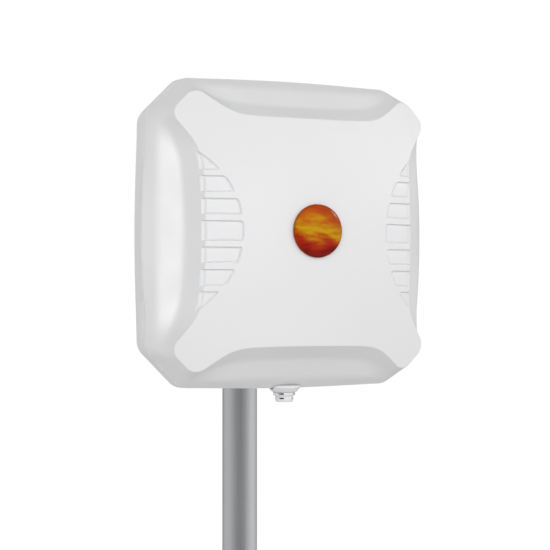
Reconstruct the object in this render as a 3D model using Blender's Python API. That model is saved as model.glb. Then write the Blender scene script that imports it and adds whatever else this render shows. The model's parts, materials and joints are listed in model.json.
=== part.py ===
"""Directional panel antenna on a mast, with its mast clamp, its tilt bracket and what its housing holds.

Metres, +Z up. The antenna faces -Y, and the middle of the mast's foot is the origin.
Panel places are (x, depth, z): depth is measured forward from the back plane of the housing's rim.
"""

import math

import bmesh
import bpy
from mathutils import Vector
from mathutils.bvhtree import BVHTree

MM = 0.001
GAP = 0.3 * MM

# Mast
MAST_RADIUS = 15 * MM
MAST_WALL = 2 * MM
MAST_TOP_ABOVE_PANEL_CENTRE = 88 * MM
PANEL_CENTRE_HEIGHT = 330 * MM

# Joints, measured from the mast's axis
MAST_TO_TILT_AXIS = 48 * MM
MAST_TO_RIM = 77 * MM
TILT_LIMIT = math.radians(20)

# Housing
DOME_RADIUS = 386 * MM
FACE_DEPTH = 74.4 * MM
SEAM_DEPTH = 16.9 * MM
REAR_TOP = SEAM_DEPTH - GAP
FLOOR = 3 * MM
SHOULDER = 13.5 * MM
SHELL = 3 * MM
PAD_DEPTH = -4 * MM
BADGE_RADIUS = 20.4 * MM
BADGE_SEAT_RADIUS = 21.8 * MM
COVER_SCREWS = [(110 * MM, 48 * MM), (48 * MM, 110 * MM)]
BRACKET_SCREW_X, BRACKET_SCREW_Z = 46 * MM, 26 * MM
FACE_HALF = 89 * MM
FACE_BEND = (89.4 * MM, 62.5 * MM)

# Recesses in the left and right edges of the face
SLOT_DEPTH = 1.2 * MM
SLOT_ARC_RADIUS = 77 * MM
SLOT_ARC_CENTRE = 135 * MM
SLOT_LEDGE_DROP = 3.2 * MM
SLOT_BANDS = [(-7.2, 7.2), (12.7, 24.1), (30.0, 41.1), (46.6, 59.5)]

# Inside
REFLECTOR_HALF = 91 * MM
REFLECTOR_CORNER_SUM = 150 * MM
REFLECTOR_DEPTH = 9.5 * MM
SHEET = 1.5 * MM
REFLECTOR_RIM = 22 * MM
REFLECTOR_SCREW = 60 * MM
BOARD = 1.6 * MM
SPACER_PLACE = 44 * MM
RADIATOR_DEPTH = 42 * MM
DIRECTOR_DEPTH = 56 * MM
LEAD_RADIUS = 1.3 * MM
LEAD_SPREAD = 2.0 * MM

# Gland
GLAND_DEPTH = 13.6 * MM
NECK_DEPTH = 10 * MM
NECK_HALF_WIDTH, NECK_HALF_HEIGHT = 9 * MM, 2.2 * MM
COLLAR_RADIUS, COLLAR_FOOT_RADIUS = 13.2 * MM, 10 * MM
COLLAR_TOP = -125.3 * MM
COLLAR_FOOT = -127.6 * MM
BOOT_FOOT = -135.8 * MM
BOOT_BORE = 5.4 * MM

# Clamp and tilt bracket, in the height about the panel's centre
U_BOLT_SPREAD = 18.5 * MM
U_BOLT_HEIGHT = 22 * MM
U_BOLT_RADIUS = 3 * MM
WEB_FRONT, WEB_BACK = -25 * MM, -22 * MM
PLATE = 3 * MM
INNER_CHEEK = 32 * MM
OUTER_CHEEK = 36 * MM
PIVOT_RADIUS = 4 * MM
LOCK_RADIUS = 3 * MM
LOCK_HEIGHT = 24 * MM
HOLE_PLAY = 0.4 * MM

AXIS_ALONG_X = (0, math.pi / 2, 0)
AXIS_FORWARD = (math.pi / 2, 0, 0)
AXIS_BACKWARD = (-math.pi / 2, 0, 0)

FINISHES = {
    "radome": ((0.86, 0.86, 0.87), 0.42, 0.0),
    "dark_plastic": ((0.05, 0.05, 0.055), 0.5, 0.0),
    "gland_plastic": ((0.80, 0.80, 0.81), 0.45, 0.0),
    "mast_metal": ((0.42, 0.43, 0.45), 0.38, 1.0),
    "bracket_metal": ((0.55, 0.56, 0.58), 0.42, 1.0),
    "stainless": ((0.62, 0.62, 0.64), 0.28, 1.0),
    "rubber": ((0.03, 0.03, 0.03), 0.8, 0.0),
    "badge_print": ((0.85, 0.33, 0.04), 0.35, 0.0),
    "badge_resin": ((0.95, 0.60, 0.20), 0.05, 0.0),
    "aluminium": ((0.78, 0.79, 0.80), 0.35, 1.0),
    "circuit_board": ((0.05, 0.22, 0.10), 0.35, 0.0),
    "nylon": ((0.90, 0.89, 0.85), 0.5, 0.0),
    "lead_jacket": ((0.25, 0.12, 0.06), 0.45, 0.0),
}


# ---------------------------------------------------------------- scene and helpers


def empty(name, location, parent=None):
    """A frame of reference: a joint's axis, or the housing's own frame."""
    frame = bpy.data.objects.new(name, None)
    frame.location = location
    frame.parent = parent
    bpy.context.scene.collection.objects.link(frame)
    return frame


def finish_material(name):
    found = bpy.data.materials.get(name)
    if found:
        return found
    colour, roughness, metallic = FINISHES[name]
    made = bpy.data.materials.new(name)
    made.use_nodes = True
    shader = made.node_tree.nodes["Principled BSDF"]
    shader.inputs["Base Color"].default_value = (*colour, 1)
    shader.inputs["Roughness"].default_value = roughness
    shader.inputs["Metallic"].default_value = metallic
    return made


def add(name, bm, finish, parent, location=(0, 0, 0), rotation=(0, 0, 0)):
    """One object from a bmesh, with its faces pointing out and its round parts shaded smooth."""
    bmesh.ops.recalc_face_normals(bm, faces=bm.faces)
    mesh = bpy.data.meshes.new(name)
    bm.to_mesh(mesh)
    bm.free()
    mesh.shade_smooth()
    mesh.set_sharp_from_angle(angle=math.radians(35))
    if finish:
        mesh.materials.append(finish_material(finish))
    return place(name, mesh, parent, location, rotation)


def place(name, mesh, parent, location=(0, 0, 0), rotation=(0, 0, 0)):
    made = bpy.data.objects.new(name, mesh)
    made.parent = parent
    made.location = location
    made.rotation_euler = rotation
    bpy.context.scene.collection.objects.link(made)
    return made


def boolean(target, operation, tool):
    """A Boolean modifier whose tool is hidden from the finished object."""
    tool.hide_render = True
    tool.display_type = "WIRE"
    step = target.modifiers.new(tool.name, "BOOLEAN")
    step.operation = operation
    step.solver = "EXACT"
    step.object = tool


def loft(rings, closed=False):
    """Quads between rings of matching points; the ends are capped, or joined into a loop if closed."""
    bm = bmesh.new()
    loops = [[bm.verts.new(point) for point in ring] for ring in rings]
    count = len(loops[0])
    pairs = list(zip(loops, loops[1:]))
    if closed:
        pairs.append((loops[-1], loops[0]))
    else:
        bm.faces.new(loops[0])
        bm.faces.new(reversed(loops[-1]))
    for low, high in pairs:
        for i in range(count):
            j = (i + 1) % count
            bm.faces.new((low[i], low[j], high[j], high[i]))
    return bm


def prism(outline, sweep):
    """A flat outline swept along a vector, as a closed solid."""
    sweep = Vector(sweep)
    return loft([outline, [Vector(point) + sweep for point in outline]])


def merged(*parts):
    """Several closed shapes in one bmesh, for a tool that cuts or joins in several places."""
    whole = bmesh.new()
    for part in parts:
        mesh = bpy.data.meshes.new("part")
        part.to_mesh(mesh)
        part.free()
        whole.from_mesh(mesh)
        bpy.data.meshes.remove(mesh)
    return whole


def circle(radius, height, count=16, centre=(0, 0)):
    """A ring of points about the local Z axis."""
    x, y = centre
    steps = [2 * math.pi * i / count for i in range(count)]
    return [Vector((x + radius * math.cos(a), y + radius * math.sin(a), height)) for a in steps]


def hexagon(across_flats, height, count=12):
    """A hexagon with a point in the middle of each flat too, so that it can meet a circle of 12 points."""
    corner = across_flats / math.sqrt(3)
    reach = [corner if i % 2 == 0 else across_flats / 2 for i in range(count)]
    steps = [2 * math.pi * i / count for i in range(count)]
    return [Vector((r * math.cos(a), r * math.sin(a), height)) for r, a in zip(reach, steps)]


def turned(profile, count=16):
    """A solid of revolution about the local Z axis from (radius, height) pairs, capped flat at both ends."""
    return loft([circle(radius, height, count) for radius, height in profile])


def turned_tube(profile, count=16):
    """The same from a closed profile that stays off the axis."""
    return loft([circle(radius, height, count) for radius, height in profile], closed=True)


def drill(points, radius, start, end, axis, count=16):
    """Cylinders for cutting: along Y through (x, z) points, or along X through (y, z) points."""
    cuts = []
    for first, second in points:
        if axis == "Y":
            ring = [Vector((p.x, start, p.y)) for p in circle(radius, 0, count, (first, second))]
            cuts.append(prism(ring, (0, end - start, 0)))
        else:
            ring = [Vector((start, p.x, p.y)) for p in circle(radius, 0, count, (first, second))]
            cuts.append(prism(ring, (end - start, 0, 0)))
    return merged(*cuts)


def four_ways(x, z):
    return [(x, z), (-x, z), (-x, -z), (x, -z)]


# ---------------------------------------------------------------- outlines of the housing


def half_side(mid, bend, corner_x, corner_sum, radius, counts):
    """Half of one side as (x, z, share) from its middle to the middle of the cut-off corner.

    The side curves gently from mid to bend, runs straight on to a rounded corner, and ends on the
    line x + z = corner_sum. The share goes from 0 on the curved stretch to 1 at the rounded corner.
    """
    on_side, on_arm, on_round, on_cut = counts
    bend = Vector(bend)
    corner = Vector((corner_x, corner_sum - corner_x))
    into = (corner - bend).normalized()
    out = Vector((-1, 1)).normalized()
    turn = into.angle(out)
    round_start = corner - into * radius * math.tan(turn / 2)
    round_centre = round_start + Vector((-into.y, into.x)) * radius
    points = []
    for i in range(on_side):
        t = i / on_side
        points.append((mid + (bend.x - mid) * t * t, bend.y * t, 0.0))
    for i in range(on_arm):
        t = i / on_arm
        point = bend.lerp(round_start, t)
        points.append((point.x, point.y, t * t * (3 - 2 * t)))
    spoke = round_start - round_centre
    for i in range(on_round):
        a = turn * i / (on_round - 1)
        x = spoke.x * math.cos(a) - spoke.y * math.sin(a)
        z = spoke.x * math.sin(a) + spoke.y * math.cos(a)
        points.append((round_centre.x + x, round_centre.y + z, 1.0))
    last = Vector(points[-1][:2])
    middle = Vector((corner_sum / 2, corner_sum / 2))
    for i in range(on_cut):
        point = last.lerp(middle, (i + 1) / on_cut)
        points.append((point.x, point.y, 1.0))
    return points


def outline(half):
    """The whole closed outline from half of one side, mirrored and turned to all four sides."""
    side = [(x, -z, s) for x, z, s in reversed(half[1:-1])] + half
    points = []
    for _ in range(4):
        points += side
        side = [(-z, x, s) for x, z, s in side]
    return points


def dome(x, z):
    """Depth of the domed face."""
    return FACE_DEPTH - (DOME_RADIUS - math.sqrt(DOME_RADIUS**2 - x * x - z * z))


def rim_outline(inset, counts):
    """The housing's outermost outline, or a smaller one inside it."""
    return outline(
        half_side(
            mid=125 * MM - inset,
            bend=(123.1 * MM - inset, 62.5 * MM),
            corner_x=122.7 * MM - inset,
            corner_sum=214.6 * MM - 1.414 * inset,
            radius=20 * MM,
            counts=counts,
        )
    )


def ring_at(points, depth):
    return [Vector((x, -depth, z)) for x, z, _ in points]


def ring_on_dome(points, drop=0.0):
    return [Vector((x, drop - dome(x, z), z)) for x, z, _ in points]


def ring_between(points, side_depth, corner_depth):
    return [Vector((x, -(side_depth + (corner_depth - side_depth) * s), z)) for x, z, s in points]


# ---------------------------------------------------------------- mast


def build_mast(frame):
    top = PANEL_CENTRE_HEIGHT + MAST_TOP_ABOVE_PANEL_CENTRE
    bore = MAST_RADIUS - MAST_WALL
    plug_flange = 3.7 * MM
    plug_top = 24 * MM
    skirt = 14 * MM
    tube = [(bore, 4 * MM), (MAST_RADIUS, 4 * MM), (MAST_RADIUS, top), (bore, top)]
    add("mast_tube", turned_tube(tube, 32), "mast_metal", frame)
    plug = [
        (MAST_RADIUS - 1 * MM, 0),
        (MAST_RADIUS, 1 * MM),
        (MAST_RADIUS, plug_flange),
        (bore - GAP, plug_flange),
        (bore - GAP, plug_top),
    ]
    add("mast_foot_plug", turned(plug, 24), "dark_plastic", frame)
    cap = [
        (MAST_RADIUS - 1 * MM, top + 3 * MM),
        (MAST_RADIUS + 2 * MM, top + 1.5 * MM),
        (MAST_RADIUS + 2 * MM, top - skirt),
        (MAST_RADIUS + GAP, top - skirt),
        (MAST_RADIUS + GAP, top + GAP),
    ]
    add("mast_top_cap", turned(cap, 32), "dark_plastic", frame)


# ---------------------------------------------------------------- clamp on the mast


def arc_points(radius, start, end, steps, centre=(0, 0)):
    """Points (y, z) along an arc in the vertical plane, angles in radians from +Y."""
    angles = [start + (end - start) * i / steps for i in range(steps + 1)]
    return [(centre[0] + radius * math.cos(a), centre[1] + radius * math.sin(a)) for a in angles]


def build_clamp(frame):
    pivot_y = -MAST_TO_TILT_AXIS
    web_half = 34 * MM
    nose, ear = 15 * MM, 8.5 * MM
    front = pivot_y - 20 * MM
    inner = INNER_CHEEK - PLATE
    channel = [
        (-INNER_CHEEK, WEB_BACK),
        (-INNER_CHEEK, front),
        (-inner, front),
        (-inner, WEB_FRONT),
        (inner, WEB_FRONT),
        (inner, front),
        (INNER_CHEEK, front),
        (INNER_CHEEK, WEB_BACK),
    ]
    bracket = add(
        "mast_bracket",
        prism([Vector((x, y, -web_half)) for x, y in channel], (0, 0, 2 * web_half)),
        "bracket_metal",
        frame,
    )
    side = [(-10 * MM, -web_half - MM), (-10 * MM, web_half + MM), (-30 * MM, web_half + MM)]
    side += arc_points(ear, math.radians(70), math.radians(190), 6, (pivot_y, LOCK_HEIGHT))
    side += arc_points(nose, math.radians(140), math.radians(300), 7, (pivot_y, 0))
    side += [(-30 * MM, -web_half - MM)]
    shape = prism([Vector((-50 * MM, y, z)) for y, z in side], (100 * MM, 0, 0))
    boolean(bracket, "INTERSECT", add("mast_bracket_shape", shape, None, frame))
    pivot_hole = drill([(pivot_y, 0)], PIVOT_RADIUS + HOLE_PLAY, -50 * MM, 50 * MM, "X")
    lock_hole = drill([(pivot_y, LOCK_HEIGHT)], LOCK_RADIUS + HOLE_PLAY, -50 * MM, 50 * MM, "X")
    legs = four_ways(U_BOLT_SPREAD, U_BOLT_HEIGHT)
    leg_holes = drill(legs, U_BOLT_RADIUS + HOLE_PLAY, -30 * MM, -15 * MM, "Y")
    holes = merged(pivot_hole, lock_hole, leg_holes)
    boolean(bracket, "DIFFERENCE", add("mast_bracket_holes", holes, None, frame))
    for name, height in (("upper", U_BOLT_HEIGHT), ("lower", -U_BOLT_HEIGHT)):
        build_saddle(f"saddle_{name}", frame, height)
        build_u_bolt(f"u_bolt_{name}", frame, height)
        for side_name, x in (("left", -U_BOLT_SPREAD), ("right", U_BOLT_SPREAD)):
            nut = flange_nut(U_BOLT_RADIUS, 10 * MM, 6.5 * MM, 6 * MM)
            place_y = WEB_FRONT - GAP
            add(f"clamp_nut_{name}_{side_name}", nut, "stainless", frame, (x, place_y, height), AXIS_FORWARD)


def build_saddle(name, frame, height):
    """A block with a notch that bears on the front of the mast, with a hole for each leg of its U-bolt."""
    half_width = 26 * MM
    half_height = 8 * MM
    back = WEB_BACK + GAP
    notch_angle = math.radians(60)
    bottom = -(MAST_RADIUS + GAP) / math.sin(notch_angle)
    horn = -6 * MM
    notch_half = (horn - bottom) * math.tan(notch_angle)
    block = [
        (-half_width, back),
        (half_width, back),
        (half_width, horn),
        (notch_half, horn),
        (0, bottom),
        (-notch_half, horn),
        (-half_width, horn),
    ]
    solid = prism([Vector((x, y, -half_height)) for x, y in block], (0, 0, 2 * half_height))
    saddle = add(name, solid, "bracket_metal", frame, (0, 0, height))
    spots = [(-U_BOLT_SPREAD, 0), (U_BOLT_SPREAD, 0)]
    holes = drill(spots, U_BOLT_RADIUS + HOLE_PLAY, -30 * MM, 5 * MM, "Y")
    boolean(saddle, "DIFFERENCE", add(f"{name}_holes", holes, None, frame, (0, 0, height)))


def build_u_bolt(name, frame, height):
    """A round bar bent behind the mast, whose two legs run forward through the saddle and the web."""
    tip = -37 * MM
    bend_steps = 12
    curve = bpy.data.curves.new(name, "CURVE")
    curve.dimensions = "3D"
    curve.bevel_depth = U_BOLT_RADIUS
    curve.bevel_resolution = 2
    curve.use_fill_caps = True
    route = [(U_BOLT_SPREAD, tip)]
    route += arc_points(U_BOLT_SPREAD, 0, math.pi, bend_steps)
    route += [(-U_BOLT_SPREAD, tip)]
    line = curve.splines.new("POLY")
    line.points.add(len(route) - 1)
    for point, (x, y) in zip(line.points, route):
        point.co = (x, y, 0, 1)
    curve.materials.append(finish_material("stainless"))
    bolt = bpy.data.objects.new(name, curve)
    bolt.parent = frame
    bolt.location = (0, 0, height)
    bpy.context.scene.collection.objects.link(bolt)


def flange_nut(thread_radius, across_flats, flange_radius, height):
    hole = thread_radius + GAP
    flange = 1.4 * MM
    rings = [
        circle(hole, 0, 12),
        circle(flange_radius, 0, 12),
        circle(flange_radius, flange, 12),
        hexagon(across_flats, flange + 0.6 * MM),
        hexagon(across_flats, height),
        circle(hole, height, 12),
    ]
    return loft(rings, closed=True)


# ---------------------------------------------------------------- tilt joint


def hex_nut(thread_radius, across_flats, height):
    hole = thread_radius + GAP
    rings = [
        circle(hole, 0, 12),
        hexagon(across_flats, 0),
        hexagon(across_flats, height),
        circle(hole, height, 12),
    ]
    return loft(rings, closed=True)


def hex_bolt(radius, across_flats, head, length):
    """Head below the local origin, shank above it."""
    rings = [
        hexagon(across_flats, -head),
        hexagon(across_flats, 0),
        circle(radius, 0, 12),
        circle(radius, length, 12),
    ]
    return loft(rings)


def washer(bore, radius, thickness):
    return turned_tube([(bore, 0), (radius, 0), (radius, thickness), (bore, thickness)], 16)


def build_cross_bolt(name, frame, height, radius, across_flats, washer_radius, length):
    """A through bolt along X with a washer under its head and its nut, at a height above the tilt axis."""
    place_y = -MAST_TO_TILT_AXIS
    thickness = 1.4 * MM
    washer_place = OUTER_CHEEK + GAP
    outside = washer_place + thickness + GAP
    head = 0.65 * across_flats / 1.6
    ring = washer(radius + GAP, washer_radius, thickness)
    bolt = hex_bolt(radius, across_flats, head, length)
    add(f"{name}_bolt", bolt, "stainless", frame, (-outside, place_y, height), AXIS_ALONG_X)
    left_place = (GAP - outside, place_y, height)
    left = add(f"{name}_washer_left", ring, "stainless", frame, left_place, AXIS_ALONG_X)
    place(f"{name}_washer_right", left.data, frame, (washer_place, place_y, height), AXIS_ALONG_X)
    nut = hex_nut(radius, across_flats, 0.8 * 2 * radius)
    add(f"{name}_nut", nut, "stainless", frame, (outside, place_y, height), AXIS_ALONG_X)


def build_antenna_bracket(frame):
    """The bracket on the housing, in the tilt axis's own frame."""
    plate_front = MAST_TO_TILT_AXIS - MAST_TO_RIM - PAD_DEPTH + GAP
    plate_back = plate_front + PLATE
    half_width = 55 * MM
    half_height = 36 * MM
    end_radius = 34 * MM
    inner = OUTER_CHEEK - PLATE
    back = 40 * MM
    section = [
        (-half_width, plate_front),
        (half_width, plate_front),
        (half_width, plate_back),
        (OUTER_CHEEK, plate_back),
        (OUTER_CHEEK, back),
        (inner, back),
        (inner, plate_back),
        (-inner, plate_back),
        (-inner, back),
        (-OUTER_CHEEK, back),
        (-OUTER_CHEEK, plate_back),
        (-half_width, plate_back),
    ]
    solid = prism([Vector((x, y, -half_height)) for x, y in section], (0, 0, 2 * half_height))
    bracket = add("antenna_bracket", solid, "bracket_metal", frame)
    side = [(-50 * MM, -40 * MM)]
    side += [(plate_back + 4 * MM, -40 * MM)]
    side += arc_points(end_radius, math.radians(-80), math.radians(80), 10)
    side += [(plate_back + 4 * MM, 40 * MM), (-50 * MM, 40 * MM)]
    shape = prism([Vector((-60 * MM, y, z)) for y, z in side], (120 * MM, 0, 0))
    boolean(bracket, "INTERSECT", add("antenna_bracket_shape", shape, None, frame))
    pivot_hole = drill([(0, 0)], PIVOT_RADIUS + HOLE_PLAY, -50 * MM, 50 * MM, "X")
    slot_half = LOCK_RADIUS + HOLE_PLAY
    swing = TILT_LIMIT + math.radians(2)
    front, rear = math.pi / 2 + swing, math.pi / 2 - swing
    slot = arc_points(LOCK_HEIGHT + slot_half, rear, front, 8)
    end = (LOCK_HEIGHT * math.cos(front), LOCK_HEIGHT * math.sin(front))
    slot += arc_points(slot_half, front, front + math.pi, 6, end)[1:-1]
    slot += arc_points(LOCK_HEIGHT - slot_half, front, rear, 8)
    end = (LOCK_HEIGHT * math.cos(rear), LOCK_HEIGHT * math.sin(rear))
    slot += arc_points(slot_half, rear + math.pi, rear + 2 * math.pi, 6, end)[1:-1]
    arc_slot = prism([Vector((-50 * MM, y, z)) for y, z in slot], (100 * MM, 0, 0))
    spots = four_ways(BRACKET_SCREW_X, BRACKET_SCREW_Z)
    screw_holes = drill(spots, 2.5 * MM + HOLE_PLAY, plate_front - MM, plate_back + MM, "Y")
    holes = merged(pivot_hole, arc_slot, screw_holes)
    boolean(bracket, "DIFFERENCE", add("antenna_bracket_holes", holes, None, frame))


def build_tilt_joint(swivel, tilt):
    build_cross_bolt("pivot", swivel, 0, PIVOT_RADIUS, 13 * MM, 8 * MM, 87 * MM)
    build_cross_bolt("lock", swivel, LOCK_HEIGHT, LOCK_RADIUS, 10 * MM, 6.5 * MM, 84 * MM)
    build_antenna_bracket(tilt)


# ---------------------------------------------------------------- housing


def pan_screw(head_radius, head, radius, length, count=10):
    """Head below the local origin, shank above it."""
    profile = [
        (0.6 * head_radius, -head),
        (head_radius, -0.6 * head),
        (head_radius, 0),
        (radius, 0),
        (radius, length),
    ]
    return turned(profile, count)


def cover_screw_places():
    return [spot for x, z in COVER_SCREWS for spot in four_ways(x, z)]


def build_rear_cover(panel):
    counts = (3, 1, 3, 1)
    rings = [
        ring_at(rim_outline(2 * MM, counts), 0),
        ring_at(rim_outline(0, counts), 2 * MM),
        ring_at(rim_outline(0, counts), REAR_TOP),
        ring_at(rim_outline(3 * MM, counts), REAR_TOP),
        ring_at(rim_outline(3 * MM, counts), SHOULDER),
        ring_at(rim_outline(7 * MM, counts), SHOULDER),
        ring_at(rim_outline(7 * MM, counts), FLOOR),
    ]
    cover = add("rear_cover", loft(rings), "radome", panel)
    boss_top = 9 * MM
    standoff_top = REFLECTOR_DEPTH - GAP
    pad_x, pad_z = 60 * MM, 40 * MM
    rib_half, rib_end = 3 * MM, 112 * MM
    rib_back, pad_foot = -2.5 * MM, 1.5 * MM
    corners = [Vector((x, -PAD_DEPTH, z)) for x, z in four_ways(pad_x, pad_z)]
    pad = prism(corners, (0, PAD_DEPTH - pad_foot, 0))
    cover_bosses = [ring_prism(spot, 5.5 * MM, 2 * MM, boss_top, 12) for spot in cover_screw_places()]
    pad_bosses = [ring_prism(spot, 6 * MM, 2 * MM, 8 * MM, 12) for spot in pad_screw_places()]
    standoffs = [ring_prism(spot, 5 * MM, 2 * MM, standoff_top, 12) for spot in reflector_screw_places()]
    boolean(cover, "UNION", add("rear_cover_pad", pad, None, panel))
    bosses = merged(*cover_bosses, *pad_bosses, *standoffs)
    boolean(cover, "UNION", add("rear_cover_bosses", bosses, None, panel))
    ribs = []
    for x, z in ((1, 0), (0, 1), (-1, 0), (0, -1)):
        start = (pad_x if x else pad_z) - 1 * MM
        corners = [(start, -rib_half), (rib_end, -rib_half), (rib_end, rib_half), (start, rib_half)]
        foot = [Vector((x * a - z * b, -rib_back, z * a + x * b)) for a, b in corners]
        ribs.append(prism(foot, (0, rib_back - pad_foot, 0)))
    boolean(cover, "UNION", add("rear_cover_ribs", merged(*ribs), None, panel))
    sinks = drill_depth(cover_screw_places(), 4 * MM, -2 * MM, 4 * MM)
    through = drill_depth(cover_screw_places(), 1.9 * MM, 3 * MM, 12 * MM)
    blind = drill_depth(pad_screw_places(), 2.8 * MM, -10 * MM, 6 * MM)
    standoff_holes = drill_depth(reflector_screw_places(), 1.8 * MM, 4 * MM, 12 * MM)
    neck = NECK_HALF_WIDTH + GAP
    gate = stadium(neck, NECK_HALF_HEIGHT + GAP, -130 * MM)
    gland_hole = prism(gate, (0, 0, 16 * MM))
    boolean(cover, "DIFFERENCE", add("rear_cover_sinks", sinks, None, panel))
    holes = merged(through, blind, standoff_holes)
    boolean(cover, "DIFFERENCE", add("rear_cover_screw_holes", holes, None, panel))
    boolean(cover, "DIFFERENCE", add("rear_cover_gland_hole", gland_hole, None, panel))


def ring_prism(spot, radius, low, high, count):
    """A round post from one depth to another at an (x, z) spot."""
    ring = [Vector((p.x, -low, p.y)) for p in circle(radius, 0, count, spot)]
    return prism(ring, (0, low - high, 0))


def drill_depth(spots, radius, low, high, count=12):
    return merged(*[ring_prism(spot, radius, low, high, count) for spot in spots])


def pad_screw_places():
    return four_ways(BRACKET_SCREW_X, BRACKET_SCREW_Z)


def reflector_screw_places():
    return four_ways(REFLECTOR_SCREW, REFLECTOR_SCREW)


def build_gasket(panel):
    counts = (2, 1, 3, 1)
    low, high = SHOULDER + GAP, SEAM_DEPTH - 0.1 * MM
    outer, inner = rim_outline(3.4 * MM, counts), rim_outline(6.6 * MM, counts)
    rings = [ring_at(inner, low), ring_at(outer, low), ring_at(outer, high), ring_at(inner, high)]
    add("cover_gasket", loft(rings, closed=True), "rubber", panel)


def front_cover_outlines(counts):
    """The outer surface's outlines from the seam up to the edge of the face."""

    def shape(mid, bend, corner_x, corner_sum, radius):
        bend = (bend[0] * MM, bend[1] * MM)
        return outline(half_side(mid * MM, bend, corner_x * MM, corner_sum * MM, radius * MM, counts))

    seam = shape(124.6, (122.7, 62.5), 122.3, 213.7, 20)
    shoulder = shape(116.8, (116.9, 62.5), 118.8, 211.0, 16)
    ledge_start = shape(114.8, (115.1, 62.5), 118.0, 210.0, 16)
    ledge_end = shape(100.6, (104.4, 62.5), 116.4, 208.4, 13)
    wall_foot = shape(98.8, (102.4, 62.5), 115.2, 207.2, 13)
    wall_top = shape(90.3, (91.0, 62.5), 113.2, 204.8, 12)
    face_edge = outline(half_side(FACE_HALF, FACE_BEND, 112.2 * MM, 203.6 * MM, 12 * MM, counts))
    return [
        ring_between(seam, SEAM_DEPTH, SEAM_DEPTH),
        ring_between(seam, 18.4 * MM, 18.4 * MM),
        ring_between(shoulder, 28.8 * MM, 25.0 * MM),
        ring_between(ledge_start, 31.0 * MM, 28.0 * MM),
        ring_between(ledge_end, 43.9 * MM, 33.0 * MM),
        ring_between(wall_foot, 46.2 * MM, 37.0 * MM),
        ring_on_dome(wall_top, 1.4 * MM),
    ], face_edge


def build_front_cover(panel):
    counts = (3, 2, 3, 1)
    rings, face_edge = front_cover_outlines(counts)
    for scale in (1.0, 0.75, 0.5):
        rings.append(ring_on_dome([(x * scale, z * scale, share) for x, z, share in face_edge]))
    seat_depth = dome(BADGE_SEAT_RADIUS, 0)
    seat = [Vector((x, z)).normalized() * BADGE_SEAT_RADIUS for x, z, _ in face_edge]
    rings.append([Vector((p.x, -seat_depth, p.y)) for p in seat])
    skin = loft(rings)
    skin.faces.ensure_lookup_table()
    bmesh.ops.delete(skin, geom=[skin.faces[0]], context="FACES_ONLY")
    bmesh.ops.recalc_face_normals(skin, faces=skin.faces)
    surface = BVHTree.FromBMesh(skin)
    cover = add("front_cover", skin, "radome", panel)
    shell = cover.modifiers.new("shell", "SOLIDIFY")
    shell.thickness = SHELL
    shell.offset = -1
    flange_counts = (3, 1, 3, 1)
    outer, inner = rim_outline(2.6 * MM, flange_counts), rim_outline(7 * MM, flange_counts)
    low, high = SEAM_DEPTH + 0.2 * MM, SEAM_DEPTH + 2.2 * MM
    flange_rings = [ring_at(inner, low), ring_at(outer, low), ring_at(outer, high), ring_at(inner, high)]
    boolean(cover, "UNION", add("front_cover_flange", loft(flange_rings, closed=True), None, panel))
    posts = [screw_post(surface, spot) for spot in cover_screw_places()]
    boolean(cover, "UNION", add("front_cover_posts", merged(*posts), None, panel))
    holes = drill_depth(cover_screw_places(), 1.9 * MM, 8 * MM, 24 * MM, 10)
    boolean(cover, "DIFFERENCE", add("front_cover_post_holes", holes, None, panel))
    slots = [slot_cutter(side, *band) for side in (-1, 1) for band in slot_bands()]
    boolean(cover, "DIFFERENCE", add("front_cover_slots", merged(*slots), None, panel))


def screw_post(surface, spot):
    """A post from just above the rear cover's boss to the middle of the front cover's wall above it."""
    foot, radius = 9.3 * MM, 4.5 * MM
    ring = [Vector((p.x, -foot, p.y)) for p in circle(radius, 0, 10, spot)]
    top = []
    for point in ring:
        hit = surface.ray_cast(point, Vector((0, -1, 0)))[0]
        top.append(Vector((point.x, hit.y + 0.6 * SHELL, point.z)))
    return loft([ring, top])


def slot_bands():
    """The recesses' (low, high) heights, the upper ones repeated below the middle one."""
    middle = SLOT_BANDS[0]
    above = SLOT_BANDS[1:]
    bands = [middle] + above + [(-high, -low) for low, high in above]
    return [(low * MM, high * MM) for low, high in bands]


def slot_inner_end(height):
    return SLOT_ARC_CENTRE - math.sqrt(SLOT_ARC_RADIUS**2 - height**2)


def slot_cutter(side, low, high):
    """Cuts one recess: a floor parallel to the dome, then a small step down to a ledge in the steep wall."""
    far, top = 97 * MM, 80 * MM
    rings = []
    for height in (low, (low + high) / 2, high):
        face_edge = FACE_HALF + (FACE_BEND[0] - FACE_HALF) * (height / FACE_BEND[1]) ** 2
        ledge = dome(face_edge, height) - SLOT_LEDGE_DROP
        edge, step = face_edge - 0.6 * MM, face_edge + 1.2 * MM
        start = min(slot_inner_end(height), edge - 1.5 * MM)
        half = (start + edge) / 2
        floor = [(x, dome(x, height) - SLOT_DEPTH) for x in (start, half, edge)]
        section = [(start, top)] + floor + [(step, ledge), (far, ledge), (far, top)]
        rings.append([Vector((side * x, -depth, height)) for x, depth in section])
    return loft(rings)


def copies(name, bm, finish, parent, places, rotation):
    """One numbered object at each place, all sharing the first one's mesh."""
    first = add(f"{name}_1", bm, finish, parent, places[0], rotation)
    for number, where in enumerate(places[1:], 2):
        place(f"{name}_{number}", first.data, parent, where, rotation)


def at_depth(spots, depth):
    return [(x, -depth, z) for x, z in spots]


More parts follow.
